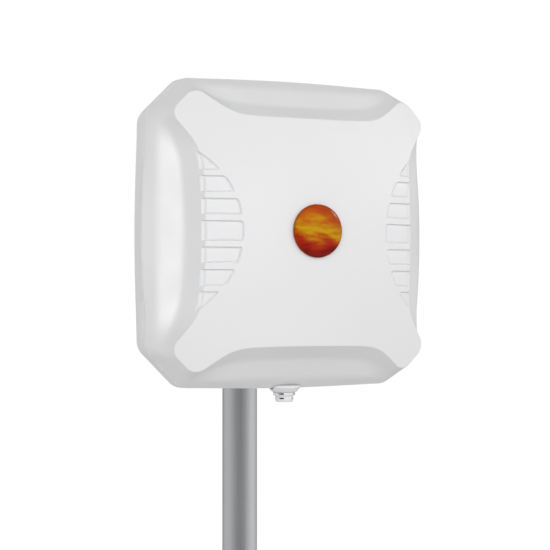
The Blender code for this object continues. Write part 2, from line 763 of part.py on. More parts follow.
def build_screws(panel):
    sink_floor = 4 * MM - GAP
    screw = pan_screw(3.5 * MM, 2.4 * MM, 1.5 * MM, 17 * MM)
    spots = at_depth(cover_screw_places(), sink_floor)
    copies("cover_screw", screw, "stainless", panel, spots, AXIS_FORWARD)
    bracket_back = PAD_DEPTH - GAP - PLATE - GAP
    screw = hex_bolt(2.5 * MM, 8 * MM, 3.5 * MM, 13 * MM)
    spots = at_depth(pad_screw_places(), bracket_back)
    copies("bracket_screw", screw, "stainless", panel, spots, AXIS_FORWARD)
    tray_front = REFLECTOR_DEPTH + SHEET + GAP
    screw = pan_screw(3 * MM, 2 * MM, 1.5 * MM, 6 * MM)
    spots = at_depth(reflector_screw_places(), tray_front)
    copies("reflector_screw", screw, "stainless", panel, spots, AXIS_BACKWARD)


# ---------------------------------------------------------------- radiating parts


def cut_corner_square(half, corner_sum, depth):
    cut = corner_sum - half
    corner = [(half, cut), (cut, half)]
    points = []
    for _ in range(4):
        points += corner
        corner = [(-z, x) for x, z in corner]
    return [Vector((x, -depth, z)) for x, z in points]


def build_radiators(panel):
    floor = REFLECTOR_DEPTH + SHEET
    inner_half = REFLECTOR_HALF - SHEET
    inner_sum = REFLECTOR_CORNER_SUM - 1.414 * SHEET
    tray = [
        cut_corner_square(REFLECTOR_HALF, REFLECTOR_CORNER_SUM, REFLECTOR_DEPTH),
        cut_corner_square(REFLECTOR_HALF, REFLECTOR_CORNER_SUM, REFLECTOR_RIM),
        cut_corner_square(inner_half, inner_sum, REFLECTOR_RIM),
        cut_corner_square(inner_half, inner_sum, floor),
    ]
    reflector = add("reflector_tray", loft(tray), "aluminium", panel)
    screw_holes = drill_depth(reflector_screw_places(), 1.9 * MM, 8 * MM, 14 * MM)
    gate = [Vector((x, -8 * MM, z - 77 * MM)) for x, z in four_ways(9 * MM, 19 * MM)]
    lead_notch = prism(gate, (0, -16 * MM, 0))
    boolean(reflector, "DIFFERENCE", add("reflector_holes", merged(screw_holes, lead_notch), None, panel))

    board_half = 35 * MM
    board_low = floor + GAP
    feed = cut_corner_square(board_half, 2 * board_half - 4 * MM, board_low)
    add("feed_board", prism(feed, (0, -BOARD, 0)), "circuit_board", panel)

    card_low = board_low + BOARD + GAP
    card_high = RADIATOR_DEPTH - GAP
    build_card("balun_card_a", panel, card_low, card_high, 45, slot_from_top=True)
    build_card("balun_card_b", panel, card_low, card_high, -45, slot_from_top=False)

    radiator = cut_corner_square(55 * MM, 98 * MM, RADIATOR_DEPTH)
    add("radiator_board", prism(radiator, (0, -BOARD, 0)), "circuit_board", panel)

    length = RADIATOR_DEPTH - GAP - board_low
    spacer = turned(waisted(4 * MM, 2.5 * MM, 4 * MM, length), 10)
    spots = at_depth(four_ways(SPACER_PLACE, SPACER_PLACE), board_low)
    copies("radiator_spacer", spacer, "nylon", panel, spots, AXIS_FORWARD)

    post_low = RADIATOR_DEPTH + BOARD + GAP
    length = DIRECTOR_DEPTH - GAP - post_low
    post = turned(waisted(7 * MM, 3.5 * MM, 6 * MM, length), 12)
    add("director_post", post, "nylon", panel, (0, -post_low, 0), AXIS_FORWARD)
    director = [(31 * MM, 0), (31 * MM, 1 * MM)]
    add("director_plate", turned(director, 24), "aluminium", panel, (0, -DIRECTOR_DEPTH, 0), AXIS_FORWARD)


def waisted(foot, waist, head, length):
    """A spacer's profile, thicker where it bears at each end."""
    bearing, slope = 1.5 * MM, 1 * MM
    return [
        (foot, 0),
        (foot, bearing),
        (waist, bearing + slope),
        (waist, length - bearing - slope),
        (head, length - bearing),
        (head, length),
    ]


def build_card(name, panel, low, high, angle, slot_from_top):
    """One of the two upright boards that cross in the middle, each slotted halfway to take the other."""
    half, thick = 31 * MM, BOARD
    slot = thick / 2 + GAP
    middle = (low + high) / 2
    if slot_from_top:
        edge, mouth, far = middle - GAP / 2, high, low
    else:
        edge, mouth, far = middle + GAP / 2, low, high
    profile = [(-half, far), (half, far), (half, mouth), (slot, mouth)]
    profile += [(slot, edge), (-slot, edge), (-slot, mouth), (-half, mouth)]
    turn = math.radians(angle)
    along = Vector((math.cos(turn), 0, math.sin(turn)))
    across = Vector((-math.sin(turn), 0, math.cos(turn)))
    face = [along * a + Vector((0, -depth, 0)) - across * thick / 2 for a, depth in profile]
    add(name, prism(face, across * thick), "circuit_board", panel)


def build_lead(name, panel, side):
    """A thin coax lead from the feed board down through the reflector's notch and into the gland."""
    board_top = REFLECTOR_DEPTH + SHEET + GAP + BOARD
    start_depth = board_top + GAP + LEAD_RADIUS
    start, end = -28 * MM, -124 * MM
    spread = 6 * MM
    steps = 18
    curve = bpy.data.curves.new(name, "CURVE")
    curve.dimensions = "3D"
    curve.bevel_depth = LEAD_RADIUS
    curve.bevel_resolution = 2
    curve.use_fill_caps = True
    line = curve.splines.new("POLY")
    line.points.add(steps)
    for i, point in enumerate(line.points):
        height = start + (end - start) * i / steps
        dip = min(max((-52 * MM - height) / (56 * MM), 0), 1)
        ease = dip * dip * (3 - 2 * dip)
        depth = start_depth + (NECK_DEPTH - start_depth) * ease
        point.co = (side * (spread + (LEAD_SPREAD - spread) * ease), -depth, height, 1)
    curve.materials.append(finish_material("lead_jacket"))
    lead = bpy.data.objects.new(name, curve)
    lead.parent = panel
    bpy.context.scene.collection.objects.link(lead)


# ---------------------------------------------------------------- gland


def stadium(half_width, half_height, z, steps=4):
    """A level outline with round ends, about the neck's own axis."""
    reach = half_width - half_height
    points = []
    for end, start in ((1, -math.pi / 2), (-1, math.pi / 2)):
        for i in range(steps + 1):
            a = start + math.pi * i / steps
            x = end * reach + half_height * math.cos(a)
            points.append(Vector((x, -(NECK_DEPTH + half_height * math.sin(a)), z)))
    return points


def gland_ring(radius, z, count=20):
    """A level ring about the gland's own axis."""
    return [Vector((p.x, p.y - GLAND_DEPTH, z)) for p in circle(radius, 0, count)]


def build_gland(panel):
    """A round collar under the rim with an oblong neck up through the wall, and a two-tier boot below it."""
    bore_width, bore_height = 5.2 * MM, 1.6 * MM
    neck_top, neck_foot = -113.5 * MM, -126.5 * MM
    hood_top, widest = -121.5 * MM, -126.1 * MM
    rings = [(COLLAR_RADIUS, hood_top), (COLLAR_RADIUS, widest), (COLLAR_FOOT_RADIUS, COLLAR_FOOT)]
    solid = loft([gland_ring(radius, z) for radius, z in rings])
    collar = add("gland_collar", solid, "gland_plastic", panel)
    housing = [
        (-2 * MM, -118 * MM),
        (-2 * MM, COLLAR_TOP),
        (SEAM_DEPTH + 1.8 * MM, COLLAR_TOP),
        (SEAM_DEPTH + 2.4 * MM, -124.3 * MM),
        (30 * MM, -116.4 * MM),
        (30 * MM, -114 * MM),
    ]
    clearance = prism([Vector((-20 * MM, -depth, z)) for depth, z in housing], (40 * MM, 0, 0))
    boolean(collar, "DIFFERENCE", add("gland_collar_clearance", clearance, None, panel))
    neck = loft([stadium(NECK_HALF_WIDTH, NECK_HALF_HEIGHT, z) for z in (neck_foot, neck_top)])
    boolean(collar, "UNION", add("gland_neck", neck, None, panel))
    bore = loft([stadium(bore_width, bore_height, z) for z in (COLLAR_FOOT - MM, neck_top + MM)])
    boolean(collar, "DIFFERENCE", add("gland_bore", bore, None, panel))
    seal = [stadium(bore_width - GAP, bore_height - GAP, z) for z in (COLLAR_FOOT + GAP, -124.3 * MM)]
    add("gland_seal", loft(seal), "rubber", panel)
    top = COLLAR_FOOT - GAP
    profile = [
        (BOOT_BORE, top),
        (9.0 * MM, top),
        (8.8 * MM, top - 2.4 * MM),
        (7.0 * MM, top - 3.0 * MM),
        (7.0 * MM, top - 3.8 * MM),
        (7.3 * MM, top - 4.4 * MM),
        (6.8 * MM, BOOT_FOOT),
        (BOOT_BORE, BOOT_FOOT),
    ]
    boot = loft([gland_ring(radius, z) for radius, z in profile], closed=True)
    add("gland_boot", boot, "gland_plastic", panel)
    build_retainer(panel)


def build_retainer(panel):
    """A flat fork that slides over the neck inside the wall and holds the gland in."""
    high, low = -115.4 * MM, -117.4 * MM
    inner_x, inner_y = NECK_HALF_WIDTH + GAP, NECK_HALF_HEIGHT + GAP
    arm = 3 * MM
    back, front = NECK_DEPTH - NECK_HALF_HEIGHT, NECK_DEPTH + inner_y + arm
    fork = [
        (-inner_x - arm, back),
        (-inner_x, back),
        (-inner_x, front - arm),
        (inner_x, front - arm),
        (inner_x, back),
        (inner_x + arm, back),
        (inner_x + arm, front),
        (-inner_x - arm, front),
    ]
    solid = prism([Vector((x, -depth, low)) for x, depth in fork], (0, 0, high - low))
    add("gland_retainer", solid, "dark_plastic", panel)


# ---------------------------------------------------------------- badge


def build_badge(panel):
    seat = dome(BADGE_SEAT_RADIUS, 0)
    disc_height = 1 * MM
    disc = [(BADGE_RADIUS, 0), (BADGE_RADIUS, disc_height)]
    add("badge_disc", turned(disc, 32), "badge_print", panel, (0, -(seat + GAP), 0), AXIS_FORWARD)
    dome_profile = [(20.1, 0), (20.1, 1.2), (19.2, 1.9), (16, 2.5), (9, 3.0), (3, 3.1)]
    resin = turned([(r * MM, h * MM) for r, h in dome_profile], 32)
    spot = (0, -(seat + 2 * GAP + disc_height), 0)
    add("badge_dome", resin, "badge_resin", panel, spot, AXIS_FORWARD)


def main():
    for old in list(bpy.data.objects):
        bpy.data.objects.remove(old)
    mast = empty("mast_frame", (0, 0, 0))
    swivel = empty("swivel_axis", (0, 0, PANEL_CENTRE_HEIGHT), mast)
    tilt = empty("tilt_axis", (0, -MAST_TO_TILT_AXIS, 0), swivel)
    panel = empty("panel_frame", (0, MAST_TO_TILT_AXIS - MAST_TO_RIM, 0), tilt)
    build_mast(mast)
    build_clamp(swivel)
    build_tilt_joint(swivel, tilt)
    build_rear_cover(panel)
    build_gasket(panel)
    build_front_cover(panel)
    build_screws(panel)
    build_radiators(panel)
    build_lead("feed_lead_left", panel, -1)
    build_lead("feed_lead_right", panel, 1)
    build_gland(panel)
    build_badge(panel)


main()
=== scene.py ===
"""Looks for the panel antenna on its mast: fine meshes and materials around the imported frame.

Lengths are in millimetres until to_world or MM turns them into metres. In the housing's own space a
point is (x, z, depth): x to the right and z up from the panel's centre, depth forward of the rim's back.
"""

import json
import math
from collections import namedtuple

import bmesh
import bpy
import numpy as np
from mathutils import Euler, Matrix, Vector


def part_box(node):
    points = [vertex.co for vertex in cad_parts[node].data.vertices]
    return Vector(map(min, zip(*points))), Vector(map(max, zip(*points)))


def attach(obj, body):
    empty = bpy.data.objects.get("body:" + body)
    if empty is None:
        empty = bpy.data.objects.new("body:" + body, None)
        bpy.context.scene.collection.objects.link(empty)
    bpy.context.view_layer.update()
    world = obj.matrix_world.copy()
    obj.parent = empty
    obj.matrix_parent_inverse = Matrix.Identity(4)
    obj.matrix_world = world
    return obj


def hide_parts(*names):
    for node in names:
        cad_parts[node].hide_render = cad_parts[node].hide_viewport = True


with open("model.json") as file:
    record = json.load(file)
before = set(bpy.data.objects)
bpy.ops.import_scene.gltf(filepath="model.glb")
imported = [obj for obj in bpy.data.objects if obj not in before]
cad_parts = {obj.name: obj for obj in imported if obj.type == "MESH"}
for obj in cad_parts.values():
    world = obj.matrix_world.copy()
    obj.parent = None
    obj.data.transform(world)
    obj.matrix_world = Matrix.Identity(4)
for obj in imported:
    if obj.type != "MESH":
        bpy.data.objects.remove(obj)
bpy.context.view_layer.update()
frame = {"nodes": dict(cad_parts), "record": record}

MM = 0.001
GAP = 0.3

# The rear cover's front edge, as a depth
REAR_TOP = 16.6

# The badge, in the middle of the face and a little above it
BADGE_RADIUS = 20.9
BADGE_LIFT = 0.7
DISC = 1.0

# Places, bodies and slots read from the frame
REAR_LOW, REAR_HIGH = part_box("rear_cover")
TUBE_LOW, TUBE_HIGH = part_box("mast_tube")
PANEL_Z = (REAR_LOW.z + REAR_HIGH.z) / 2
RIM_Y = REAR_LOW.y + REAR_TOP * MM
MAST_RADIUS = (TUBE_HIGH.x - TUBE_LOW.x) / 2 / MM
BODY_OF = {node: body for body, nodes in frame["record"]["behaviour"]["bodies"].items() for node in nodes}
SLOT_OF = {part["node"]: part["material_slot"] for part in frame["record"]["subparts"]}


# ---------------------------------------------------------------- small maths


def smoothstep(t):
    t = np.clip(t, 0.0, 1.0)
    return t * t * (3 - 2 * t)


def smooth_max(a, b, softness):
    return (a + b + np.sqrt((a - b) ** 2 + softness**2)) / 2


def smooth_min(a, b, softness):
    return (a + b - np.sqrt((a - b) ** 2 + softness**2)) / 2


def to_world(points):
    """Rows of (x, z, depth) in the housing's space to world metres."""
    points = np.asarray(points, float)
    x, z, depth = points[..., 0], points[..., 1], points[..., 2]
    return np.stack([x * MM, RIM_Y - depth * MM, PANEL_Z + z * MM], axis=-1)


# ---------------------------------------------------------------- the housing's outlines

SEAM_DEPTH = 16.9
LIP_DEPTH = 17.3
DOME_RADIUS = 386.0
FACE_DEPTH = 74.4
BEND = 62.5
BLOCK = 66.0
SEAT_RADIUS = 21.8
SEAT_DEPTH = FACE_DEPTH - (DOME_RADIUS - math.sqrt(DOME_RADIUS**2 - SEAT_RADIUS**2))

Outline = namedtuple("Outline", "mid bend corner_x corner_sum radius soft")
RIM = Outline(125, 123.6, 123.0, 214.6, 15, 0.3)
FRONT_RIM = Outline(124.9, 121.9, 121.7, 214.5, 15, 0.3)
FRONT_RIM_ABOVE = Outline(124.3, 123.2, 122.7, 214.3, 15, 0.3)
SEAM = Outline(124.6, 121.5, 121.3, 214, 15, 0.3)
SEAM_ABOVE = Outline(124.0, 122.9, 122.4, 213.8, 15, 0.3)
SHOULDER = Outline(115.9, 115.3, 118.2, 210.9, 13, 1)
SHOULDER_ABOVE = Outline(115.9, 115.9, 118.2, 210.9, 13, 2)
CREASE = Outline(99.5, 101.2, 114.8, 207.4, 13, 4.0)
EDGE = Outline(89.1, 89.1, 112.3, 203.8, 10.5, 7.0)
FACE = Outline(87.9, 87.9, 110.6, 201.4, 9.5, 7.0)
SHOULDER_DEPTHS = (30.0, 26.5)
CREASE_DEPTHS = (44.9, 37.5)

# Recesses along the left and right edges of the face: heights, and the arcs (centre, radius) they reach to
SLOT_BANDS = [(-8.0, 8.0), (12.2, 25.1), (29.4, 42.6), (46.4, 64.5)]
SLOT_ARC_LEFT = (131.4, 72.0)
SLOT_ARC_RIGHT = (142.4, 79.0)
SLOT_DEPTH = 1.4
SLOT_WALL = 0.9
GROOVE_PLACE = 0.95
GROOVE_WIDTH = 0.42
GROOVE_DEPTH = 0.85
SLOT_CORNER = 2.5
SLOT_SETBACK = 1.6
LEDGE_DROP = 4.1
STEEP = 1.85


def inset(outline, distance):
    """The same outline drawn smaller by a distance all round."""
    return Outline(
        outline.mid - distance,
        outline.bend - distance,
        outline.corner_x - distance,
        outline.corner_sum - math.sqrt(2) * distance,
        max(outline.radius - 0.59 * distance, 3),
        outline.soft,
    )


def arm(outline):
    """The arm's straight run: its direction, where its rounded corner starts, that arc's centre and turn."""
    bend = np.array([outline.bend, BEND])
    corner = np.array([outline.corner_x, outline.corner_sum - outline.corner_x])
    into = (corner - bend) / np.linalg.norm(corner - bend)
    turn = math.acos(float(into @ np.array([-1, 1]) / math.sqrt(2)))
    start = corner - into * outline.radius * math.tan(turn / 2)
    centre = start + np.array([-into[1], into[0]]) * outline.radius
    return into, start, centre, turn


def side_x(outline, z):
    """How far out the outline is at height z, from a side's middle to the start of its rounded corner."""
    into, start, _, _ = arm(outline)
    z = np.abs(z)
    bowed = outline.mid + (outline.bend - outline.mid) * (z / BEND) ** 2
    straight = outline.bend + (z - BEND) * into[0] / into[1]
    fade = 1 - smoothstep((z - BEND) / (start[1] - BEND))
    sharp = np.maximum(bowed, straight)
    return sharp + fade * (smooth_max(bowed, straight, outline.soft) - sharp)


def eighth(outline, heights, counts, fade_from=BEND):
    """From the middle of a side to the middle of the cut-off corner, as rows (x, z, share of the corner)."""
    on_arm, on_round, on_cut = counts
    _, start, centre, turn = arm(outline)
    climb = np.linspace(BLOCK, start[1], on_arm + 1)[1:]
    z = np.concatenate([heights, climb])
    along = np.stack([side_x(outline, z), z], axis=1)
    angles = np.linspace(0, turn, on_round + 1)[1:]
    spoke = start - centre
    cos, sin = np.cos(angles), np.sin(angles)
    rounded = centre + np.stack([cos * spoke[0] - sin * spoke[1], sin * spoke[0] + cos * spoke[1]], axis=1)
    middle = np.array([outline.corner_sum / 2] * 2)
    cut = rounded[-1] + (middle - rounded[-1]) * np.linspace(0, 1, on_cut + 1)[1:, None]
    points = np.concatenate([along, rounded, cut])
    share = smoothstep((points[:, 1] - fade_from) / (start[1] - fade_from))
    share[len(z):] = 1.0
    return np.column_stack([points, share])


# Spacing of the face's mesh: across a recess's wall, where the last recess narrows to a point, and elsewhere
WALL_STEPS = np.array([0, 0.15, 0.3, 0.45, 0.6, 0.75, 0.92, 1.1, 1.25, 1.4, 1.6, 2.0])
POINT_START = 54.0
POINT_STEP = 0.45
LONGEST_STEP = 3.0


def slot_lines():
    """Heights from 0 to BLOCK, close together where a recess has an edge."""
    steps = np.concatenate([[-1.2, -0.4], WALL_STEPS, [2.6]])
    lines = [0.0, BLOCK]
    for low, high in SLOT_BANDS:
        if low > 0:
            lines += list(low + steps)
        if high < POINT_START:
            lines += list(high - steps)
    lines += list(np.arange(POINT_START, BLOCK, POINT_STEP))
    lines = np.unique(np.round(lines, 4))
    filled = [lines[0]]
    for line in lines[1:]:
        parts = max(1, math.ceil((line - filled[-1]) / LONGEST_STEP))
        filled += list(np.linspace(filled[-1], line, parts + 1)[1:])
    return np.array(filled)


SIDE_LINES = slot_lines()
TOP_LINES = np.linspace(0, BLOCK, 15)
SIDE_ARM = (10, 10, 4)
INNER_STEPS = np.concatenate([[-2.4, -1.2, -0.4], WALL_STEPS, [2.6]])
EVEN_REACH = 50.0
GUIDE_ROOM = 5.0
GUIDE_SLOPE = 1.3
GUIDE_SPREAD = 6.0
LAST_STRIP = 2.0
MIDDLE_COUNT, OUTER_COUNT, LAST_COUNT = 5, 7, 5

# The arm beyond the block has as many points along the top as the face has columns beyond the even ones
COLUMNS_BEYOND = MIDDLE_COUNT + len(INNER_STEPS) + OUTER_COUNT + LAST_COUNT
TOP_ROUND, TOP_CUT = 11, 5
TOP_ARM = (COLUMNS_BEYOND - TOP_ROUND - TOP_CUT, TOP_ROUND, TOP_CUT)


def slot_arc(z, arc):
    """How far out the recesses start at height z."""
    centre, radius = arc
    return centre - np.sqrt(radius**2 - z**2)


def face_columns(z, arc):
    """Places across the face at height z: even to the block's edge, close along the recesses' inner ends."""
    edge = side_x(FACE, z)
    guide = smooth_min(slot_arc(z, arc), edge - GUIDE_ROOM, 1.0)
    slope = min(z / math.sqrt(arc[1] ** 2 - z * z), GUIDE_SLOPE)
    stretch = min(math.hypot(1, slope), (edge - guide) / GUIDE_SPREAD)
    first = EVEN_REACH + (BLOCK - EVEN_REACH) * (z / BLOCK) ** 2
    near = guide + INNER_STEPS * stretch
    even = np.linspace(0, first, len(TOP_LINES))
    middle = np.linspace(first, near[0], MIDDLE_COUNT + 2)[1:-1]
    outer = np.linspace(near[-1], edge - LAST_STRIP, OUTER_COUNT + 1)[1:]
    last = np.linspace(edge - LAST_STRIP, edge, LAST_COUNT + 1)[1:]
    return np.concatenate([even, middle, near, outer, last])


def ring(outline, fade_from=BEND, above=None):
    """The whole outline as rows (x, z, share), starting at the middle of the right side."""
    right = eighth(outline, SIDE_LINES, SIDE_ARM, fade_from)
    top = eighth(above or outline, TOP_LINES, TOP_ARM, (fade_from + BEND) / 2)[:, [1, 0, 2]]
    quarter = np.concatenate([right, top[::-1][1:]])
    flips = [(1, 1, 1), (-1, 1, -1), (-1, -1, 1), (1, -1, -1)]
    parts = []
    for sign_x, sign_z, order in flips:
        part = quarter[::order] * np.array([sign_x, sign_z, 1])
        parts.append(part[:-1])
    return np.concatenate(parts)


def dome(x, z):
    """Depth of the domed face, with a flat seat for the badge."""
    bulge = FACE_DEPTH - (DOME_RADIUS - np.sqrt(DOME_RADIUS**2 - x * x - z * z))
    return smooth_min(bulge, SEAT_DEPTH, 0.12)


def ring_at(outline, side_depth, corner_depth=None, fade_from=BEND, above=None):
    """The outline at a depth that may change from the sides to the cut-off corners."""
    rows = ring(outline, fade_from, above)
    corner_depth = side_depth if corner_depth is None else corner_depth
    depth = side_depth + (corner_depth - side_depth) * rows[:, 2]
    return np.column_stack([rows[:, :2], depth])


def ring_on_dome(outline, drop=0.0):
    """The outline laid on the domed face, or that much below it."""
    rows = ring(outline)
    return np.column_stack([rows[:, :2], dome(rows[:, 0], rows[:, 1]) - drop])


def rounded_section(controls, tangents, curve_steps, line_steps):
    """Rings through control rings, with a curve of the given tangent length at each one inside the run."""
    rings = [controls[0]]
    last = controls[0]
    for k in range(1, len(controls) - 1):
        before = controls[k - 1] - controls[k]
        after = controls[k + 1] - controls[k]
        before_length = np.linalg.norm(before, axis=1, keepdims=True)
        after_length = np.linalg.norm(after, axis=1, keepdims=True)
        reach = np.minimum(tangents[k], 0.48 * np.minimum(before_length, after_length))
        start = controls[k] + before / before_length * reach
        end = controls[k] + after / after_length * reach
        for i in range(1, line_steps[k] + 1):
            rings.append(last + (start - last) * i / line_steps[k])
        for i in range(1, curve_steps[k] + 1):
            t = i / curve_steps[k]
            rings.append((1 - t) ** 2 * start + 2 * t * (1 - t) * controls[k] + t * t * end)
        last = rings[-1]
    steps = line_steps[-1]
    for i in range(1, steps + 1):
        rings.append(last + (controls[-1] - last) * i / steps)
    return rings


def carve(points):
    """Sinks the recesses into the outer surface. Each one wraps over the face's edge to a small ledge."""
    x, z, depth = np.abs(points[:, 0]), points[:, 1], points[:, 2]
    edge = side_x(EDGE, z)
    arcs = np.where(points[:, :1] > 0, [SLOT_ARC_RIGHT], [SLOT_ARC_LEFT])
    centre, radius = arcs[:, 0], arcs[:, 1]
    near = (np.abs(z) < BLOCK) & (x > centre - radius - 1) & (x < edge + 8)
    to_arc = np.hypot(x - centre, z) - radius
    sunk = np.zeros(len(x))
    groove = np.zeros(len(x))
    bands = SLOT_BANDS + [(-high, -low) for low, high in SLOT_BANDS[1:]]
    for low, high in bands:
        to_band = np.maximum(low - z, z - high)
        a, b = to_arc + SLOT_CORNER, to_band + SLOT_CORNER
        corner = np.hypot(np.maximum(a, 0), np.maximum(b, 0))
        outside = corner + np.minimum(np.maximum(a, b), 0) - SLOT_CORNER
        sunk = np.maximum(sunk, smoothstep(-outside / SLOT_WALL))
        groove = np.maximum(groove, np.exp(-(((outside + GROOVE_PLACE) / GROOVE_WIDTH) ** 2)))
    setback = edge - SLOT_SETBACK
    floor = dome(x, z) - SLOT_DEPTH - GROOVE_DEPTH * groove
    step = dome(setback, z) - SLOT_DEPTH - STEEP * (x - setback)
    ledge = dome(edge, z) - LEDGE_DROP
    level = smooth_max(smooth_min(floor, step, 0.3), ledge, 0.25)
    lowered = depth - sunk * np.maximum(depth - level, 0)
    return np.column_stack([points[:, :2], np.where(near, lowered, depth)])


# ---------------------------------------------------------------- meshes


def mesh_object(name, vertices, faces, weld=False):
    """An object from vertices in metres, with its faces turned outwards."""
    mesh = bpy.data.meshes.new(name)
    mesh.from_pydata([tuple(v) for v in vertices], [], faces)
    bm = bmesh.new()
    bm.from_mesh(mesh)
    if weld:
        bmesh.ops.remove_doubles(bm, verts=bm.verts, dist=2e-6)
    bmesh.ops.recalc_face_normals(bm, faces=bm.faces)
    bm.to_mesh(mesh)
    bm.free()
    return link(name, mesh)


def link(name, data):
    made = bpy.data.objects.new(name, data)
    bpy.context.scene.collection.objects.link(made)
    return made


def smooth(piece, angle):
    """Smooth shading, but sharp where two faces meet at more than the angle."""
    piece.data.shade_smooth()
    piece.data.set_sharp_from_angle(angle=math.radians(angle))


def ring_faces(rows, columns, offset=0):
    """Quads between closed rings laid one after another."""
    faces = []
    for r in range(rows - 1):
        low, high = offset + r * columns, offset + (r + 1) * columns
        for c in range(columns):
            d = (c + 1) % columns
            faces.append((low + c, low + d, high + d, high + c))
    return faces


def grid_faces(rows, columns, offset):
    """Quads over an open grid of points."""
    faces = []
    for r in range(rows - 1):
        for c in range(columns - 1):
            a = offset + r * columns + c
            faces.append((a, a + 1, a + columns + 1, a + columns))
    return faces


def coons(bottom, top, left, right):
    """A patch of points filled in between four matching edges."""
    u = (fractions(bottom) + fractions(top))[None, :, None] / 2
    v = (fractions(left) + fractions(right))[:, None, None] / 2
    ruled_v = (1 - v) * bottom[None] + v * top[None]
    ruled_u = (1 - u) * left[:, None] + u * right[:, None]
    low = (1 - u) * bottom[0] + u * bottom[-1]
    high = (1 - u) * top[0] + u * top[-1]
    return ruled_u + ruled_v - (1 - v) * low - v * high


def fractions(points):
    """How far along its line each point lies, from 0 to 1."""
    steps = np.linalg.norm(np.diff(points, axis=0), axis=1)
    return np.concatenate([[0], np.cumsum(steps)]) / steps.sum()


def face_patches(arc):
    """Quarter of the face as three grids of (x, z): beside the middle, above it, and out along the arm."""
    beside = np.array([[(x, z) for x in face_columns(z, arc)] for z in SIDE_LINES])
    shares = np.linspace(0, 1, sum(SIDE_ARM) + 1)
    above = np.array([[(x, BLOCK + (side_x(FACE, x) - BLOCK) * s) for x in TOP_LINES] for s in shares])
    split = len(TOP_LINES) - 1
    right = eighth(FACE, SIDE_LINES, SIDE_ARM)[len(SIDE_LINES) - 1:, :2]
    top = eighth(FACE, TOP_LINES, TOP_ARM)[len(TOP_LINES) - 1:, [1, 0]]
    corner = coons(beside[-1, split:], top, above[:, -1], right)
    return [beside, above, corner]


def build_front_cover():
    """The radome: one closed shell whose outer surface is worked out ring by ring and patch by patch."""
    edge = ring_on_dome(EDGE)
    crease = ring_at(CREASE, *CREASE_DEPTHS, fade_from=0.0)
    fall = np.minimum(LEDGE_DROP / np.maximum(edge[:, 2] - crease[:, 2], 1.0), 0.5)[:, None]
    controls = [
        ring_at(SEAM, SEAM_DEPTH, above=SEAM_ABOVE),
        ring_at(SEAM, LIP_DEPTH, above=SEAM_ABOVE),
        ring_at(SHOULDER, *SHOULDER_DEPTHS, fade_from=30.0, above=SHOULDER_ABOVE),
        crease,
        edge + (crease - edge) * fall,
        edge,
        ring_on_dome(FACE),
    ]
    tangents = (0, 0.5, 5.0, 3.5, 0.0001, 2.2, 0)
    curve_steps = (0, 3, 12, 10, 1, 14, 0)
    line_steps = (0, 1, 5, 7, 5, 3, 1)
    rings = rounded_section(controls, tangents, curve_steps, line_steps)
    columns = len(rings[0])
    points = [np.concatenate(rings)]
    faces = ring_faces(len(rings), columns)
    count = len(points[0])
    for side, arc in ((1, SLOT_ARC_RIGHT), (-1, SLOT_ARC_LEFT)):
        for patch in face_patches(arc):
            rows, cols = patch.shape[:2]
            flat = patch.reshape(-1, 2)
            flat = np.column_stack([flat, dome(flat[:, 0], flat[:, 1])])
            for upper in (1, -1):
                points.append(flat * np.array([side, upper, 1]))
                faces += grid_faces(rows, cols, count)
                count += len(flat)
    outer = carve(np.concatenate(points))
    inner = [
        ring_at(inset(SEAM, 3.0), SEAM_DEPTH),
        ring_at(inset(SHOULDER, 3.0), 29.0, 27.5),
        ring_at(inset(CREASE, 2.6), 41.0, 34.0, fade_from=0.0),
        ring_on_dome(inset(EDGE, 3.2), 5.0),
        ring_on_dome(inset(EDGE, 30), 4.0),
    ]
    inner_points = np.concatenate(inner)
    centre = np.array([[0, 0, FACE_DEPTH - 4.0]])
    start = len(outer)
    faces += ring_faces(len(inner), columns, start)
    last = start + (len(inner) - 1) * columns
    for c in range(columns):
        d = (c + 1) % columns
        faces.append((c, d, start + d, start + c))
        faces.append((last + c, last + d, start + len(inner_points)))
    everything = to_world(np.concatenate([outer, inner_points, centre]))
    cover = mesh_object("radome_shell", everything, faces, weld=True)
    smooth(cover, 50)
    return cover


# ---------------------------------------------------------------- materials


def feed(tree, socket, value):
    """Links a node's output to the socket, or sets the socket to a plain value."""
    if isinstance(value, bpy.types.NodeSocket):
        tree.links.new(value, socket)
    else:
        socket.default_value = value


def maths(tree, operation, first, second):
    made = tree.nodes.new("ShaderNodeMath")
    made.operation = operation
    feed(tree, made.inputs[0], first)
    feed(tree, made.inputs[1], second)
    return made.outputs[0]


